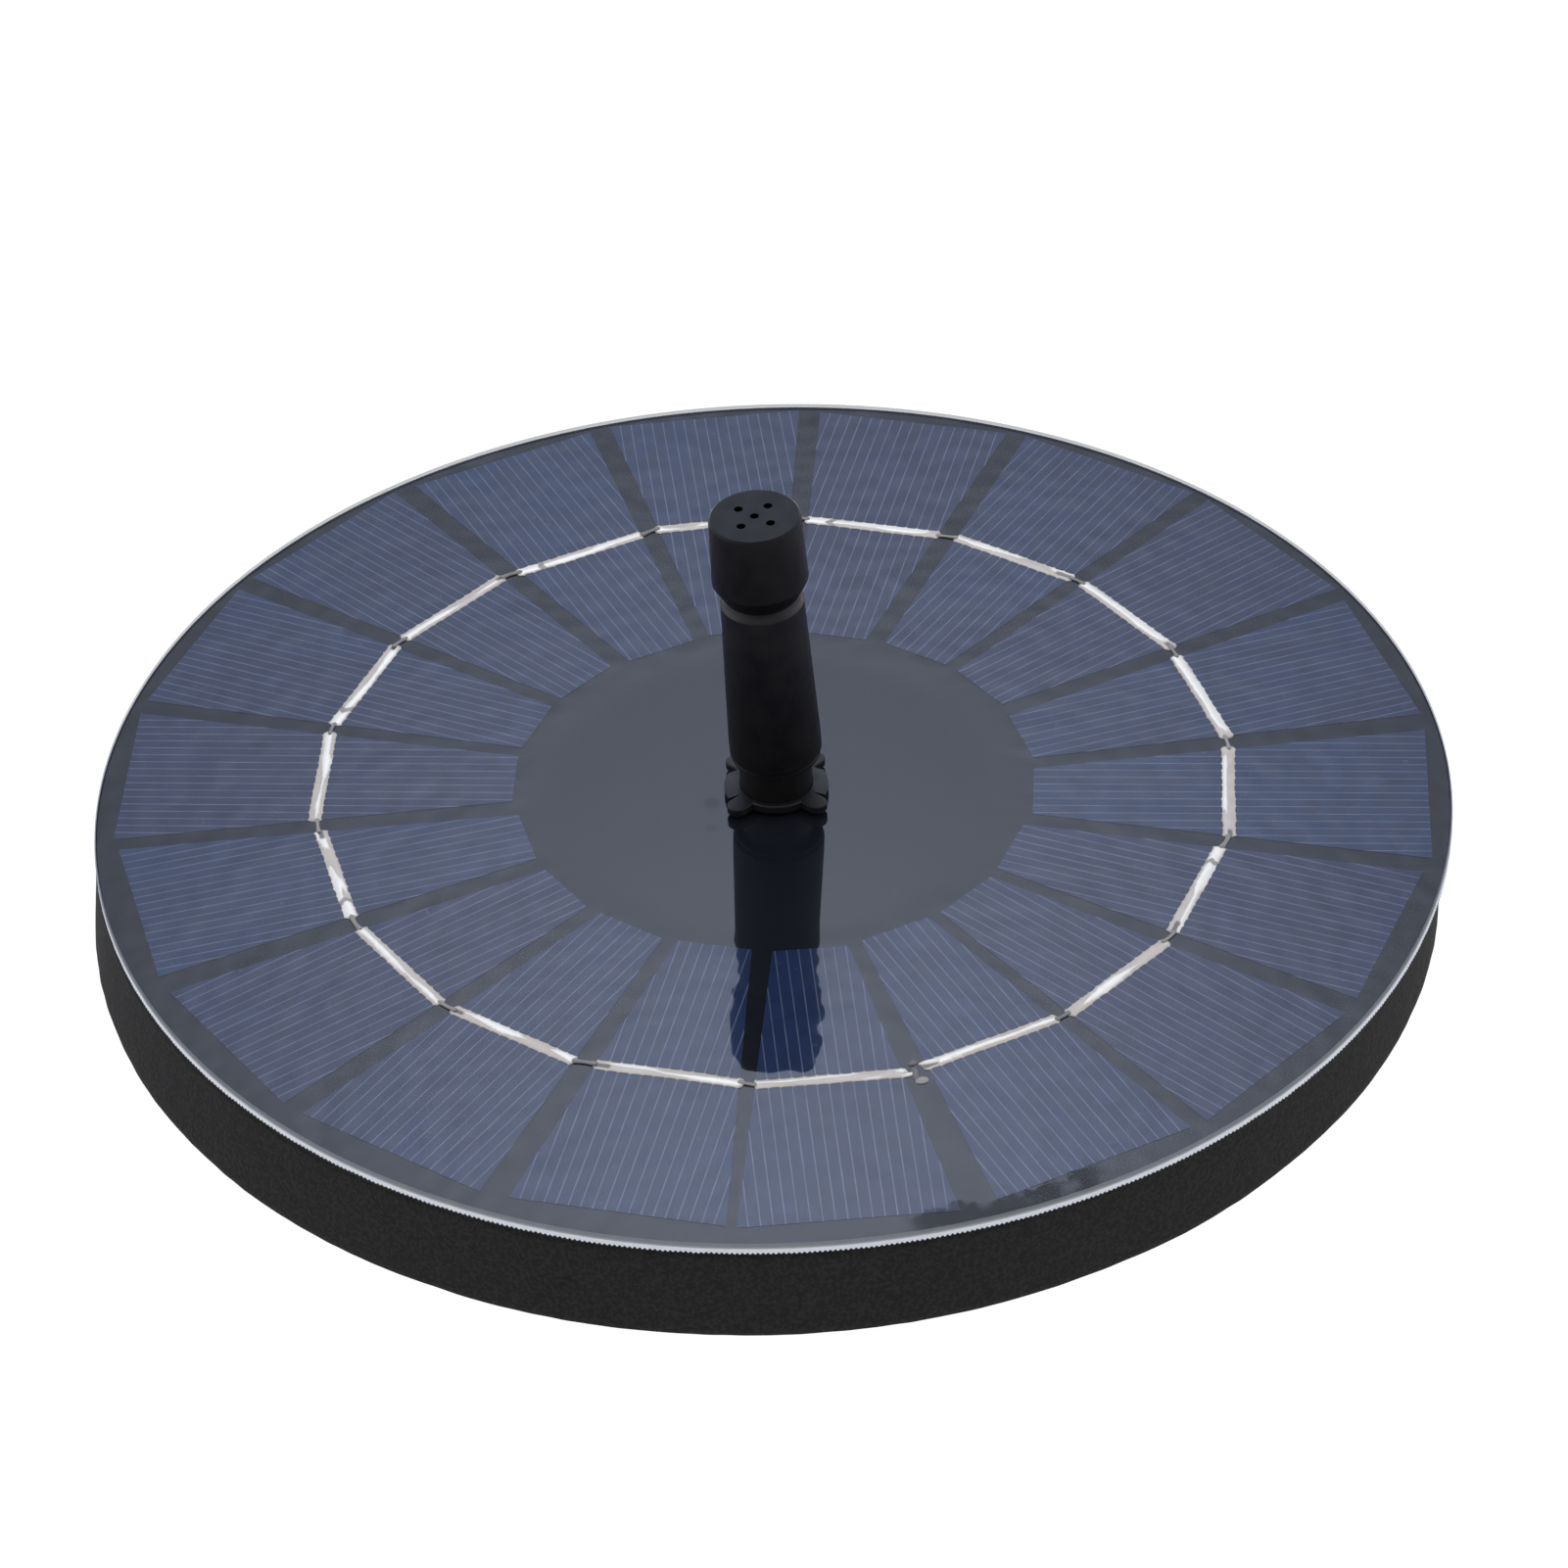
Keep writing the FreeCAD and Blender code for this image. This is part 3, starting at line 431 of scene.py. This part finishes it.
def bedding_material():
    """The black bed that the cells are sunk in, up to just below their faces."""
    shader = Shader("cell_bed", IOR=1.45, Roughness=0.5, Specular_IOR_Level=0.0)
    mask = shader.mix(shader.noise(60, 3.0), *BLACK_MASK)
    dimmed = rim_smear(shader)
    # The last two spots, beside the collar's left ear, are painted shadow; the others and the rim streak
    # are smears.
    for x, y, radius, strength in SMEARS_AND_SHADOWS:
        uneven = shader.math("SUBTRACT", shader.noise(500, 3.0), 0.5)
        uneven = shader.math("MULTIPLY", uneven, radius * MM)
        ragged = shader.math("ADD", shader.distance(x * MM, y * MM), uneven)
        spot = shader.between(ragged, 0.35 * radius * MM, radius * MM, strength, 0.0)
        dimmed = shader.math("MAXIMUM", dimmed, spot)
    shader.colour(shader.mix(dimmed, mask, DIRT_AND_SHADOW))
    shader.under_resin(shader.between(dimmed, 0, 1, 1.0, 0.45))
    return shader.material


def build_bedding(draft):
    segments = 256
    hole_r = STUB_HOLE_R
    outer_r = PANEL_R - 0.3 * MM
    top = CELL_TOP - 0.03 * MM
    low = BOARD_TOP - 0.02 * MM
    angles = [2 * math.pi * index / segments for index in range(segments)]
    corners = ((hole_r, STUB_X, low), (hole_r, STUB_X, top), (outer_r, 0, top), (outer_r, 0, low))
    rings = []
    for radius, centre, height in corners:
        ring = []
        for angle in angles:
            ring.append((centre + radius * math.cos(angle), radius * math.sin(angle), height))
        rings.append(ring)
    loft(draft, rings, closed=True)


dress("backing_board", board_material())
bedding = new_piece("cell_bed", build_bedding, "base", bedding_material())
for face in bedding.data.polygons:
    face.use_smooth = False

# ---- cells ---------------------------------------------------------------------------

FINGER_PITCH = 1.36 * MM
FINGER_HALF = 0.06 * MM
CELL_TINTS = [
    (0.0085, 0.0250, 0.079),
    (0.0115, 0.0230, 0.072),
    (0.0070, 0.0275, 0.085),
]
FINGER_SILVER = (0.15, 0.165, 0.24)
# The cells' upright sides: partly the light grey of sawn silicon, partly painted reflection standing in
# for the resin's sheen over them.
SAWN_EDGE_AND_SHEEN = (0.15, 0.17, 0.21)


def cell_material(name, cell, tint):
    """Blue polycrystalline silicon with printed silver fingers along the cell."""
    shader = Shader("silicon_" + name, Specular_IOR_Level=0.11, Specular_Tint=(0.50, 0.66, 1.0, 1))
    local = shader.local((*cell.inner_end, 0), cell.angle)
    across = shader.split(local)[1]
    wander = shader.math("MULTIPLY", shader.noise(40, 0.0), 0.05 * MM)
    from_line = shader.math("PINGPONG", shader.math("ADD", across, wander), FINGER_PITCH / 2)
    finger = shader.between(from_line, FINGER_HALF * 0.6, FINGER_HALF * 1.4, 1.0, 0.0)
    worn = shader.between(shader.noise(300, 2.0), 0.3, 0.7, 0.65, 1.0)
    finger = shader.math("MULTIPLY", finger, worn)
    light = tuple(value * 1.3 for value in tint)
    dark = tuple(value * 0.8 for value in tint)
    silicon = shader.mix(shader.crystals(420), dark, light)
    cloud = shader.between(shader.noise(45, 3.0), 0.35, 0.65, 0.0, 0.45)
    silicon = shader.mix(cloud, silicon, (0.0135, 0.0215, 0.066))
    specks = shader.between(shader.noise(1300, 0.0), 0.80, 0.86, 0.0, 0.5)
    silicon = shader.mix(specks, silicon, (0.08, 0.08, 0.10))
    lined = shader.mix(finger, silicon, FINGER_SILVER)
    upward = shader.split(shader.add("NewGeometry").outputs["True Normal"])[2]
    on_top = shader.between(upward, 0.4, 0.6)
    dimmed = rim_smear(shader)
    lined = shader.mix(shader.math("MULTIPLY", dimmed, 0.6), lined, (0.006, 0.007, 0.010))
    # Upright sides take the sawn grey mixed with painted reflection; only the tops get the resin's gloss.
    shader.colour(shader.mix(on_top, SAWN_EDGE_AND_SHEEN, lined))
    shader.put(shader.surface.inputs["Metallic"], shader.math("MULTIPLY", finger, 0.8))
    shader.rough(0.38)
    shader.under_resin(shader.math("MULTIPLY", on_top, shader.between(dimmed, 0, 1, 1.0, 0.5)))
    return shader.material


hue = random.Random(4)
for name, cell in zip(CELL_NAMES, places):
    dress(name, cell_material(name, cell, CELL_TINTS[hue.randrange(len(CELL_TINTS))]))

# ---- ribbons and the solder between them ---------------------------------------------

def ribbon_material():
    """Tinned copper: matt and faintly pink where it is bare, white where solder ran on it.
    The red of the colour "tin" says how much solder lies there, its green how dull it is."""
    shader = Shader("tinned_ribbon", Metallic=0.55, Roughness=0.4)
    tin = shader.add("VertexColor", layer_name="tin")
    red, green, _ = shader.split(tin.outputs["Color"])
    bare = shader.mix(shader.noise(500, 2.0), (0.60, 0.52, 0.445), (0.82, 0.73, 0.63))
    clean = shader.mix(red, bare, (1.0, 0.95, 0.82))
    dull = shader.mix(shader.noise(900, 2.0), (0.13, 0.127, 0.120), (0.24, 0.230, 0.215))
    shader.colour(shader.mix(green, clean, dull))
    shader.rough(shader.between(red, 0, 1, 0.55, 0.3))
    shader.bump(shader.noise(1500, 2.0), 0.00004)
    shader.under_resin()
    return shader.material


tin_material = ribbon_material()


def paint(draft, loops, tints):
    """Give each vertex of a lofted strip its solder colour."""
    layer = draft.verts.layers.float_color.get("tin") or draft.verts.layers.float_color.new("tin")
    for loop, row in zip(loops, tints):
        for vertex, (solder, dullness) in zip(loop, row):
            vertex[layer] = (solder, dullness, 0, 1)


def smooth_step(value, low, high):
    share = min(1.0, max(0.0, (value - low) / (high - low)))
    return share * share * (3 - 2 * share)


def build_ribbons(draft):
    """A lumpy soldered strip across each cell, with a tooth wherever it crosses a finger."""
    half_width = 0.76 * MM
    thick = ribbons_high.z - ribbons_low.z
    low = ribbons_low.z - 0.01 * MM
    columns = 13
    steps = 160
    tooth = 0.13 * MM
    draw = random.Random(11)
    draft.verts.layers.float_color.new("tin")
    for cell in places:
        seed = draw.uniform(0, 100)
        lane = draw.choice((-0.35, 0.35, -0.2, 0.3))
        split = draw.random() < 0.55
        split_length = draw.uniform(1.2, 3.0) * MM
        broken_at = draw.choice((-5, -5, 2.2, 3.4)) * MM
        head = RIBBON_HALF_LENGTH + draw.uniform(-0.3, 0.25) * MM
        tail = RIBBON_HALF_LENGTH + draw.uniform(-0.3, 0.25) * MM
        rings = []
        tints = []
        for step in range(steps + 1):
            across = head - (head + tail) * step / steps
            from_end = min(head - across, across + tail)
            from_tail = across + tail
            from_head = head - across
            taper = math.sqrt(smooth_step(from_end, -0.1 * MM, 0.35 * MM))
            near_finger = math.cos(math.pi * across / FINGER_PITCH) ** 16
            uneven = 0.09 * MM * noise.noise(Vector((across * 700, seed, 0)))
            sway = 0.12 * MM * noise.noise(Vector((across * 120, seed, 5)))
            ring = []
            row = []
            for column in range(columns):
                share = 2 * column / (columns - 1) - 1
                edge = (half_width + uneven + tooth * near_finger) * taper
                blob = noise.noise(Vector((across * 160, share * 0.9 - lane, seed)))
                run = smooth_step(blob + 0.35 - 0.75 * abs(share - lane), -0.02, 0.1)
                off_break = abs(from_head - broken_at + 0.9 * MM * blob)
                broken = smooth_step(0.55 * MM - off_break, 0.0, 0.25 * MM)
                if from_head < broken_at:
                    run = max(run, smooth_step(0.9 - abs(share), 0.0, 0.2))
                run *= 1 - broken
                dome = math.sqrt(max(0.0, 1 - share * share))
                height = thick * (0.25 + 0.45 * dome + 0.30 * run * dome) * max(0.3, taper)
                dullness = 0.4 * (1 - smooth_step(from_end, 0.1 * MM, 0.6 * MM))
                dullness = max(dullness, 0.6 * broken)
                if split:
                    in_slot = smooth_step(split_length - from_tail, 0.0, 0.5 * MM)
                    in_slot *= 1 - smooth_step(abs(share - 0.1), 0.25, 0.5)
                    height *= 1 - 0.7 * in_slot
                    dullness = max(dullness, in_slot)
                ring.append(cell.at(across, share * edge + sway, low + height))
                row.append((run, dullness))
            ring.append(cell.at(across, edge + sway, low))
            ring.append(cell.at(across, -edge + sway, low))
            row += [(0, 0.5), (0, 0.5)]
            rings.append(ring)
            tints.append(row)
        paint(draft, loft(draft, rings, capped=True), tints)


ribbons = new_piece("soldered_ribbons", build_ribbons, "base", tin_material)
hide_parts("cell_ribbons")


def strip(draft, points, half_width, low, thick, solder, dullness):
    """A thin flattened run of solder through flat points, narrow in the middle."""
    rings = []
    for index, point in enumerate(points):
        before = points[max(0, index - 1)]
        after = points[min(len(points) - 1, index + 1)]
        forward = (after - before).normalized()
        side = Vector((-forward.y, forward.x))
        share = 2 * index / (len(points) - 1) - 1
        half = half_width * (0.62 + 0.38 * abs(share) ** 2) * (0.5 if abs(share) == 1 else 1)
        ring = []
        for reach, rise in ((-1, 0.0), (-0.8, 0.7), (0, 1.0), (0.8, 0.7), (1, 0.0)):
            flat = point + side * (half * reach)
            ring.append((flat.x, flat.y, low + thick * rise))
        rings.append(ring)
    loops = loft(draft, rings, capped=True)
    paint(draft, loops, [[(solder, dullness)] * 5] * len(loops))


def blot(draft, place, angle, half_length, half_width, white, dullness):
    """A low round drop of solder, longer along the ribbon than across it."""
    made = bmesh.ops.create_uvsphere(
        draft, u_segments=24, v_segments=12, radius=1.0,
        matrix=Matrix.Translation(place) @ Matrix.Rotation(angle, 4, "Z")
        @ Matrix.Diagonal((half_width, half_length, 0.2 * MM, 1)),
    )
    layer = draft.verts.layers.float_color["tin"]
    for vertex in made["verts"]:
        vertex[layer] = (white, dullness, 0, 1)


# Drops of solder after one cell: across and along from the middle of its ribbon, half
# length and half width, all in millimetres, turn in degrees, share of white and dullness.
BLOTTED = places[6]
BLOTS = [
    (-10.85, 0.35, 0.80, 0.36, -8, 1.0, 0.0),
    (-9.90, 1.95, 0.80, 0.62, -10, 0.0, 0.55),
    (-10.05, 0.60, 0.42, 1.25, -20, 0.0, 1.0),
    (-9.45, -1.15, 0.60, 0.42, 0, 0.0, 1.0),
    (-7.50, -0.35, 1.50, 0.42, -12, 1.0, 0.0),
    (-4.65, 0.20, 0.85, 0.34, -10, 1.0, 0.0),
]


def build_links(draft):
    """Dull bridges between neighbouring ribbons, and in one gap drops of solder instead."""
    low = ribbons_low.z
    thick = LINK_TOP - ribbons_low.z - 0.02 * MM
    steps = 12
    draw = random.Random(7)
    draft.verts.layers.float_color.new("tin")
    for cell, following in zip(places, places[1:] + places[:1]):
        if cell is BLOTTED:
            continue
        offset = draw.uniform(-0.2, 0.25) * MM
        half_width = draw.uniform(0.36, 0.55) * MM
        start = Vector(cell.at(-RIBBON_HALF_LENGTH + 0.6 * MM, offset, 0)).xy
        end = Vector(following.at(RIBBON_HALF_LENGTH - 0.6 * MM, -offset, 0)).xy
        bow = cell.along * draw.uniform(-0.1, 0.2) * MM
        points = []
        for step in range(steps + 1):
            share = step / steps
            points.append(start.lerp(end, share) + bow * math.sin(math.pi * share))
        strip(draft, points, half_width, low, thick, draw.uniform(0, 0.3), draw.uniform(0.6, 1.0))

    for across, along, half_length, half_width, turn, white, dullness in BLOTS:
        place = BLOTTED.at(across * MM, along * MM, low)
        angle = BLOTTED.angle + math.radians(turn)
        blot(draft, place, angle, half_length * MM, half_width * MM, white, dullness)


links = new_piece("solder_bridges", build_links, "base", tin_material)
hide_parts("ribbon_links")

# ---- plastics and rubber -------------------------------------------------------------

def moulded(name, dark, light, roughness, grain, depth, specular=0.5):
    """Moulded plastic or rubber: faint clouding, fine grain, uneven gloss."""
    shader = Shader(name, IOR=1.46, Specular_IOR_Level=specular)
    shader.colour(shader.mix(shader.noise(150, 3.0), dark, light))
    gloss = shader.noise(400, 3.0)
    shader.rough(shader.between(gloss, 0.3, 0.7, roughness - 0.06, roughness + 0.06))
    shader.bump(shader.noise(grain, 2.0), depth)
    return shader.material


# The cap, riser and collar are one black plastic in three copies: the cap is painted darker as painted
# shade, and the riser and collar lighter as painted light, for how light falls on each.
cap_black_shaded = moulded(
    "cap_black_shaded", (0.0028, 0.0022, 0.0042), (0.0044, 0.0036, 0.0060), 0.36, 4500, 0.000012, specular=0.3
)
riser_black_lit = moulded(
    "riser_black_lit", (0.0050, 0.0044, 0.0066), (0.0074, 0.0066, 0.0094), 0.36, 4500, 0.000012
)
collar_black_lit = moulded(
    "collar_black_lit", (0.0085, 0.0078, 0.0095), (0.0130, 0.0120, 0.0145), 0.45, 4000, 0.00002
)
pump_black = moulded("pump_black", (0.006, 0.006, 0.0065), (0.010, 0.010, 0.011), 0.42, 3500, 0.00002)
box_black = moulded("box_black", (0.007, 0.007, 0.008), (0.012, 0.012, 0.013), 0.5, 3000, 0.00003)
seal_black = moulded("seal_black", (0.010, 0.010, 0.010), (0.016, 0.016, 0.016), 0.68, 2500, 0.00002)
film_grey = moulded("film_grey", (0.06, 0.06, 0.06), (0.10, 0.10, 0.10), 0.6, 2000, 0.00002)
lead_black = moulded("lead_black", (0.008, 0.008, 0.008), (0.013, 0.013, 0.013), 0.45, 3000, 0.00001)
impeller_white = moulded("impeller_white", (0.60, 0.60, 0.57), (0.68, 0.68, 0.65), 0.4, 3500, 0.00001)
bobbin_cream = moulded("bobbin_cream", (0.50, 0.46, 0.36), (0.58, 0.53, 0.42), 0.45, 3500, 0.00001)
chip_black = moulded("chip_black", (0.010, 0.010, 0.011), (0.018, 0.018, 0.019), 0.5, 6000, 0.00001)
potting_black = moulded("potting_black", (0.005, 0.005, 0.006), (0.008, 0.008, 0.009), 0.12, 300, 0.00003)
ceramic_white = moulded("ceramic_white", (0.72, 0.71, 0.67), (0.80, 0.79, 0.76), 0.14, 5000, 0.000003)

FINISHES = {
    "nozzle_riser": riser_black_lit,
    "nozzle_cap": cap_black_shaded,
    "lock_collar": collar_black_lit,
    "volute_cover": pump_black,
    "motor_housing": pump_black,
    "intake_strainer": pump_black,
    "junction_box": box_black,
    "junction_lid": box_black,
    "outlet_washer": seal_black,
    "housing_seal": seal_black,
    "front_shaft_seat": seal_black,
    "rear_shaft_seat": seal_black,
    "pump_grommet": seal_black,
    "box_grommet": seal_black,
    "pump_lead": lead_black,
    "float_adhesive": film_grey,
    "impeller": impeller_white,
    "coil_bobbins": bobbin_cream,
    "driver_chip": chip_black,
    "potting_plug": potting_black,
    "rotor_shaft": ceramic_white,
    "front_thrust_washer": ceramic_white,
    "rear_thrust_washer": ceramic_white,
}
for node, material in FINISHES.items():
    dress(node, material)

# ---- metals, magnet and circuit board ------------------------------------------------

def turned_metal(name, dark, light, roughness):
    """Plated metal with fine marks round and along it."""
    shader = Shader(name, Metallic=1.0)
    marks = shader.noise(900, 3.0, 0.6, shader.stretched(shader.place(), 1, 6, 1))
    shader.colour(shader.mix(marks, dark, light))
    shader.rough(shader.between(marks, 0.3, 0.7, roughness - 0.06, roughness + 0.08))
    shader.bump(marks, 0.000006)
    return shader.material


def magnet_material():
    """Pressed ferrite: dark grey, speckled and slightly rough."""
    shader = Shader("ferrite", Roughness=0.5)
    shader.colour(shader.mix(shader.crystals(2500), (0.035, 0.035, 0.04), (0.06, 0.06, 0.065)))
    shader.bump(shader.noise(3500, 2.0), 0.00001)
    return shader.material


def lamination_material():
    """Stacked steel sheets, half a millimetre thick, along the pump's axis."""
    shader = Shader("laminations", Metallic=1.0, Roughness=0.35)
    y = shader.split(shader.place())[1]
    seam = shader.between(shader.math("PINGPONG", y, 0.25 * MM), 0.02 * MM, 0.06 * MM)
    steel = shader.mix(shader.noise(500, 2.0), (0.36, 0.36, 0.38), (0.48, 0.48, 0.50))
    shader.colour(shader.mix(seam, (0.10, 0.09, 0.09), steel))
    shader.bump(seam, 0.00003)
    return shader.material


def winding_material():
    """Rows of enamelled copper wire, a quarter of a millimetre thick, round each pole's tooth."""
    shader = Shader("winding", Metallic=1.0, Roughness=0.22)
    x, _, z = shader.split(shader.place())
    diagonal = shader.math("MAXIMUM", shader.math("ABSOLUTE", x), shader.math("ABSOLUTE", z))
    row = shader.math("PINGPONG", diagonal, 0.125 * MM)
    wire = shader.between(row, 0.0, 0.11 * MM)
    copper = shader.mix(shader.noise(300, 2.0), (0.62, 0.24, 0.10), (0.74, 0.32, 0.15))
    shader.colour(shader.mix(wire, (0.20, 0.07, 0.03), copper))
    shader.bump(wire, 0.00008)
    return shader.material


def circuit_material():
    """Green solder mask over traces that run in steps."""
    shader = Shader("circuit_board", Roughness=0.4)
    steps = shader.add("TexVoronoi", distance="CHEBYCHEV", feature="F1")
    shader.put(steps.inputs["Vector"], shader.place())
    steps.inputs["Scale"].default_value = 420
    trace = shader.between(steps.outputs["Distance"], 0.34, 0.40)
    green = shader.mix(shader.noise(200, 2.0), (0.010, 0.085, 0.035), (0.015, 0.11, 0.05))
    shader.colour(shader.mix(trace, green, (0.03, 0.20, 0.08)))
    shader.bump(trace, 0.00003)
    return shader.material


def banded_diode_material():
    """Black body with a pale band at one end, and bright wires."""
    low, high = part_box("blocking_diode")
    middle = (low + high) / 2
    body_half = 2.5 * MM
    shader = Shader("banded_diode", Roughness=0.35)
    y = shader.split(shader.place())[1]
    from_middle = shader.math("SUBTRACT", y, middle.y)
    on_wire = shader.between(shader.math("ABSOLUTE", from_middle), body_half, body_half + 0.02 * MM)
    in_band = shader.between(from_middle, 1.2 * MM, 1.25 * MM)
    past_band = shader.between(from_middle, 1.8 * MM, 1.85 * MM)
    band = shader.math("SUBTRACT", in_band, past_band)
    body = shader.mix(band, (0.012, 0.012, 0.013), (0.45, 0.45, 0.44))
    wire = shader.mix(shader.noise(900, 2.0), (0.55, 0.55, 0.54), (0.70, 0.70, 0.68))
    shader.colour(shader.mix(on_wire, body, wire))
    shader.put(shader.surface.inputs["Metallic"], on_wire)
    shader.bump(shader.noise(2500, 2.0), 0.00001)
    return shader.material


dress("housing_screws", turned_metal("screw_steel", (0.46, 0.46, 0.45), (0.62, 0.62, 0.61), 0.28))
dress("smoothing_capacitor", turned_metal("capacitor_can", (0.60, 0.61, 0.63), (0.72, 0.73, 0.75), 0.3))
dress("panel_terminals", turned_metal("terminal_brass", (0.58, 0.44, 0.18), (0.72, 0.57, 0.26), 0.28))
dress("rotor_magnet", magnet_material())
dress("stator_core", lamination_material())
dress("stator_coils", winding_material())
dress("control_board", circuit_material())
dress("blocking_diode", banded_diode_material())

# ---- foam ----------------------------------------------------------------------------

FOAM_PIT = (-107.0, 22.5)      # degrees round the float, and height in millimetres
FOAM_SLANT = 1.25 * MM         # how far the top's left edge stands in from the bottom's
FOAM_WIDTH = 32 * MM           # from the float's hole to its side


def foam_material():
    """Cut closed-cell foam: matt black, with the fine pores of the cut. Its upward faces are
    painted lighter: painted light that offsets the shade under the board's rim."""
    shader = Shader("float_foam", Roughness=0.95, Specular_IOR_Level=0.2)
    base = shader.mix(shader.noise(350, 4.0), (0.0126, 0.0122, 0.0131), (0.0164, 0.0159, 0.0169))
    pores = shader.between(shader.noise(2200, 2.0, 0.6), 0.42, 0.62)
    cut = shader.mix(pores, base, (0.0245, 0.0238, 0.0247))
    upward = shader.split(shader.add("NewGeometry").outputs["True Normal"])[2]
    # Painted light: faces that look up are lighter, offsetting the shade under the board's overhang.
    shader.colour(shader.mix(shader.between(upward, 0.5, 0.9), cut, (0.042, 0.041, 0.042)))
    shader.bump(shader.noise(1800, 3.0), 0.00012)
    return shader.material


def build_foam(draft):
    """The float was cut at a slant: its sides are upright at the right, and lean in at the left."""
    upright_x = FOAM_X + FOAM_R
    inner_r = FOAM_R - FOAM_WIDTH
    segments = 720
    edge = 0.35 * MM
    wall_steps = 14
    flat_steps = 12
    low = foam_low.z
    high = foam_high.z
    pit_angle = math.radians(FOAM_PIT[0])
    pit_height = FOAM_PIT[1] * MM
    walls = []
    for radius, out in ((FOAM_R, 1), (inner_r, -1)):
        wall = [(radius - out * edge, low)]
        for step in range(wall_steps + 1):
            wall.append((radius, low + edge + (high - low - 2 * edge) * step / wall_steps))
        wall.append((radius - out * edge, high))
        walls.append(wall)
    outer, inner = walls
    width = FOAM_R - inner_r - 2 * edge
    across = [inner_r + edge + width * step / flat_steps for step in range(1, flat_steps)]
    top = [(radius, high) for radius in reversed(across)]
    bottom = [(radius, low) for radius in across]

    rings = []
    for radius, height in outer + top + inner[::-1] + bottom:
        ring = []
        for index in range(segments):
            angle = 2 * math.pi * index / segments
            cosine = math.cos(angle)
            sine = math.sin(angle)
            x = FOAM_X + radius * cosine
            y = radius * sine
            wave = noise.noise(Vector((x * 60, y * 60, height * 60)))
            fine = noise.noise(Vector((x * 420, y * 420, height * 420)))
            swell = (0.12 * wave + 0.06 * fine - 0.06) * MM
            if radius > FOAM_R - edge:
                round_rim = FOAM_R * math.remainder(angle - pit_angle, 2 * math.pi)
                gone = math.hypot(round_rim, height - pit_height) / (0.9 * MM)
                swell -= 0.5 * MM * math.exp(-gone * gone)
            sag = 0.0
            if height < low + edge * 2:
                sag = 0.14 * MM * noise.noise(Vector((x * 45, y * 45, 9.0)))
            x += swell * cosine
            y += swell * sine
            size = 1 - FOAM_SLANT / (2 * FOAM_R) * (height - low) / (high - low)
            ring.append((upright_x + (x - upright_x) * size, y * size, height + abs(sag)))
        rings.append(ring)
    loft(draft, rings, closed=True)


foam = new_piece("foam_float", build_foam, "base", foam_material())
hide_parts("float_ring")

# ---- floor and light -----------------------------------------------------------------

FRONT_WALL = (0.28, 0.28, 0.29)
SIDE_WALLS = (0.86, 0.88, 0.92)
BACK_WALL = (0.72, 0.785, 0.965)
LAMP = (2.20, 2.41, 2.97)
LAMP_ELEVATION = 44            # degrees
LAMP_REACH = 0.21              # from its middle to where its glow ends, on a sphere of radius 1
LAMP_NARROWING = 1.25          # how much taller than wide the glow is


def add_floor():
    """A plain white sheet that is seen only from above."""
    half = 3.0
    mesh = bpy.data.meshes.new("floor")
    corners = [(-half, -half, 0), (half, -half, 0), (half, half, 0), (-half, half, 0)]
    mesh.from_pydata(corners, [], [(0, 1, 2, 3)])
    floor = bpy.data.objects.new("floor", mesh)
    floor.location.z = -0.02 * MM
    bpy.context.scene.collection.objects.link(floor)
    shader = Shader(
        "floor", Roughness=1.0, Specular_IOR_Level=0.0, Emission_Color=(1, 1, 1, 1), Emission_Strength=1.0
    )
    shader.colour((0.12, 0.12, 0.12))
    clear = shader.add("BsdfTransparent")
    sides = shader.add("MixShader")
    shader.put(sides.inputs[0], shader.add("NewGeometry").outputs["Backfacing"])
    shader.put(sides.inputs[1], shader.surface.outputs[0])
    shader.put(sides.inputs[2], clear.outputs[0])
    shader.put(shader.tree.nodes["Material Output"].inputs["Surface"], sides.outputs[0])
    mesh.materials.append(shader.material)


def add_light():
    """A white studio, dim in front of the object, with a large pale blue lamp high behind it."""
    world = bpy.data.worlds.new("studio")
    world.use_nodes = True
    tree = world.node_tree
    background = tree.nodes["Background"]

    def share_of(socket, low, high):
        node = tree.nodes.new("ShaderNodeMapRange")
        node.interpolation_type = "SMOOTHSTEP"
        tree.links.new(socket, node.inputs["Value"])
        node.inputs["From Min"].default_value = low
        node.inputs["From Max"].default_value = high
        return node.outputs[0]

    def blend(share, first, second):
        node = tree.nodes.new("ShaderNodeMix")
        node.data_type = "RGBA"
        tree.links.new(share, node.inputs["Factor"])
        for socket, value in ((node.inputs[6], first), (node.inputs[7], second)):
            if isinstance(value, tuple):
                socket.default_value = (*value, 1)
            else:
                tree.links.new(value, socket)
        return node.outputs[2]

    direction = tree.nodes.new("ShaderNodeTexCoord").outputs["Generated"]
    split = tree.nodes.new("ShaderNodeSeparateXYZ")
    tree.links.new(direction, split.inputs[0])
    toward_back = split.outputs["Y"]
    room = blend(share_of(toward_back, -0.75, -0.05), FRONT_WALL, SIDE_WALLS)
    room = blend(share_of(toward_back, 0.1, 0.75), room, BACK_WALL)
    narrowed = tree.nodes.new("ShaderNodeMapping")
    narrowed.inputs["Scale"].default_value = (LAMP_NARROWING, 1, 1)
    tree.links.new(direction, narrowed.inputs["Vector"])
    from_lamp = tree.nodes.new("ShaderNodeVectorMath")
    from_lamp.operation = "DISTANCE"
    tree.links.new(narrowed.outputs[0], from_lamp.inputs[0])
    elevation = math.radians(LAMP_ELEVATION)
    from_lamp.inputs[1].default_value = (0, math.cos(elevation), math.sin(elevation))
    sky = blend(share_of(from_lamp.outputs["Value"], LAMP_REACH, 0.0), room, LAMP)
    seen = tree.nodes.new("ShaderNodeLightPath").outputs["Is Camera Ray"]
    tree.links.new(blend(seen, sky, (1.0, 1.0, 1.0)), background.inputs["Color"])
    bpy.context.scene.world = world
    bpy.context.scene.view_settings.view_transform = "Standard"


add_floor()
add_light()
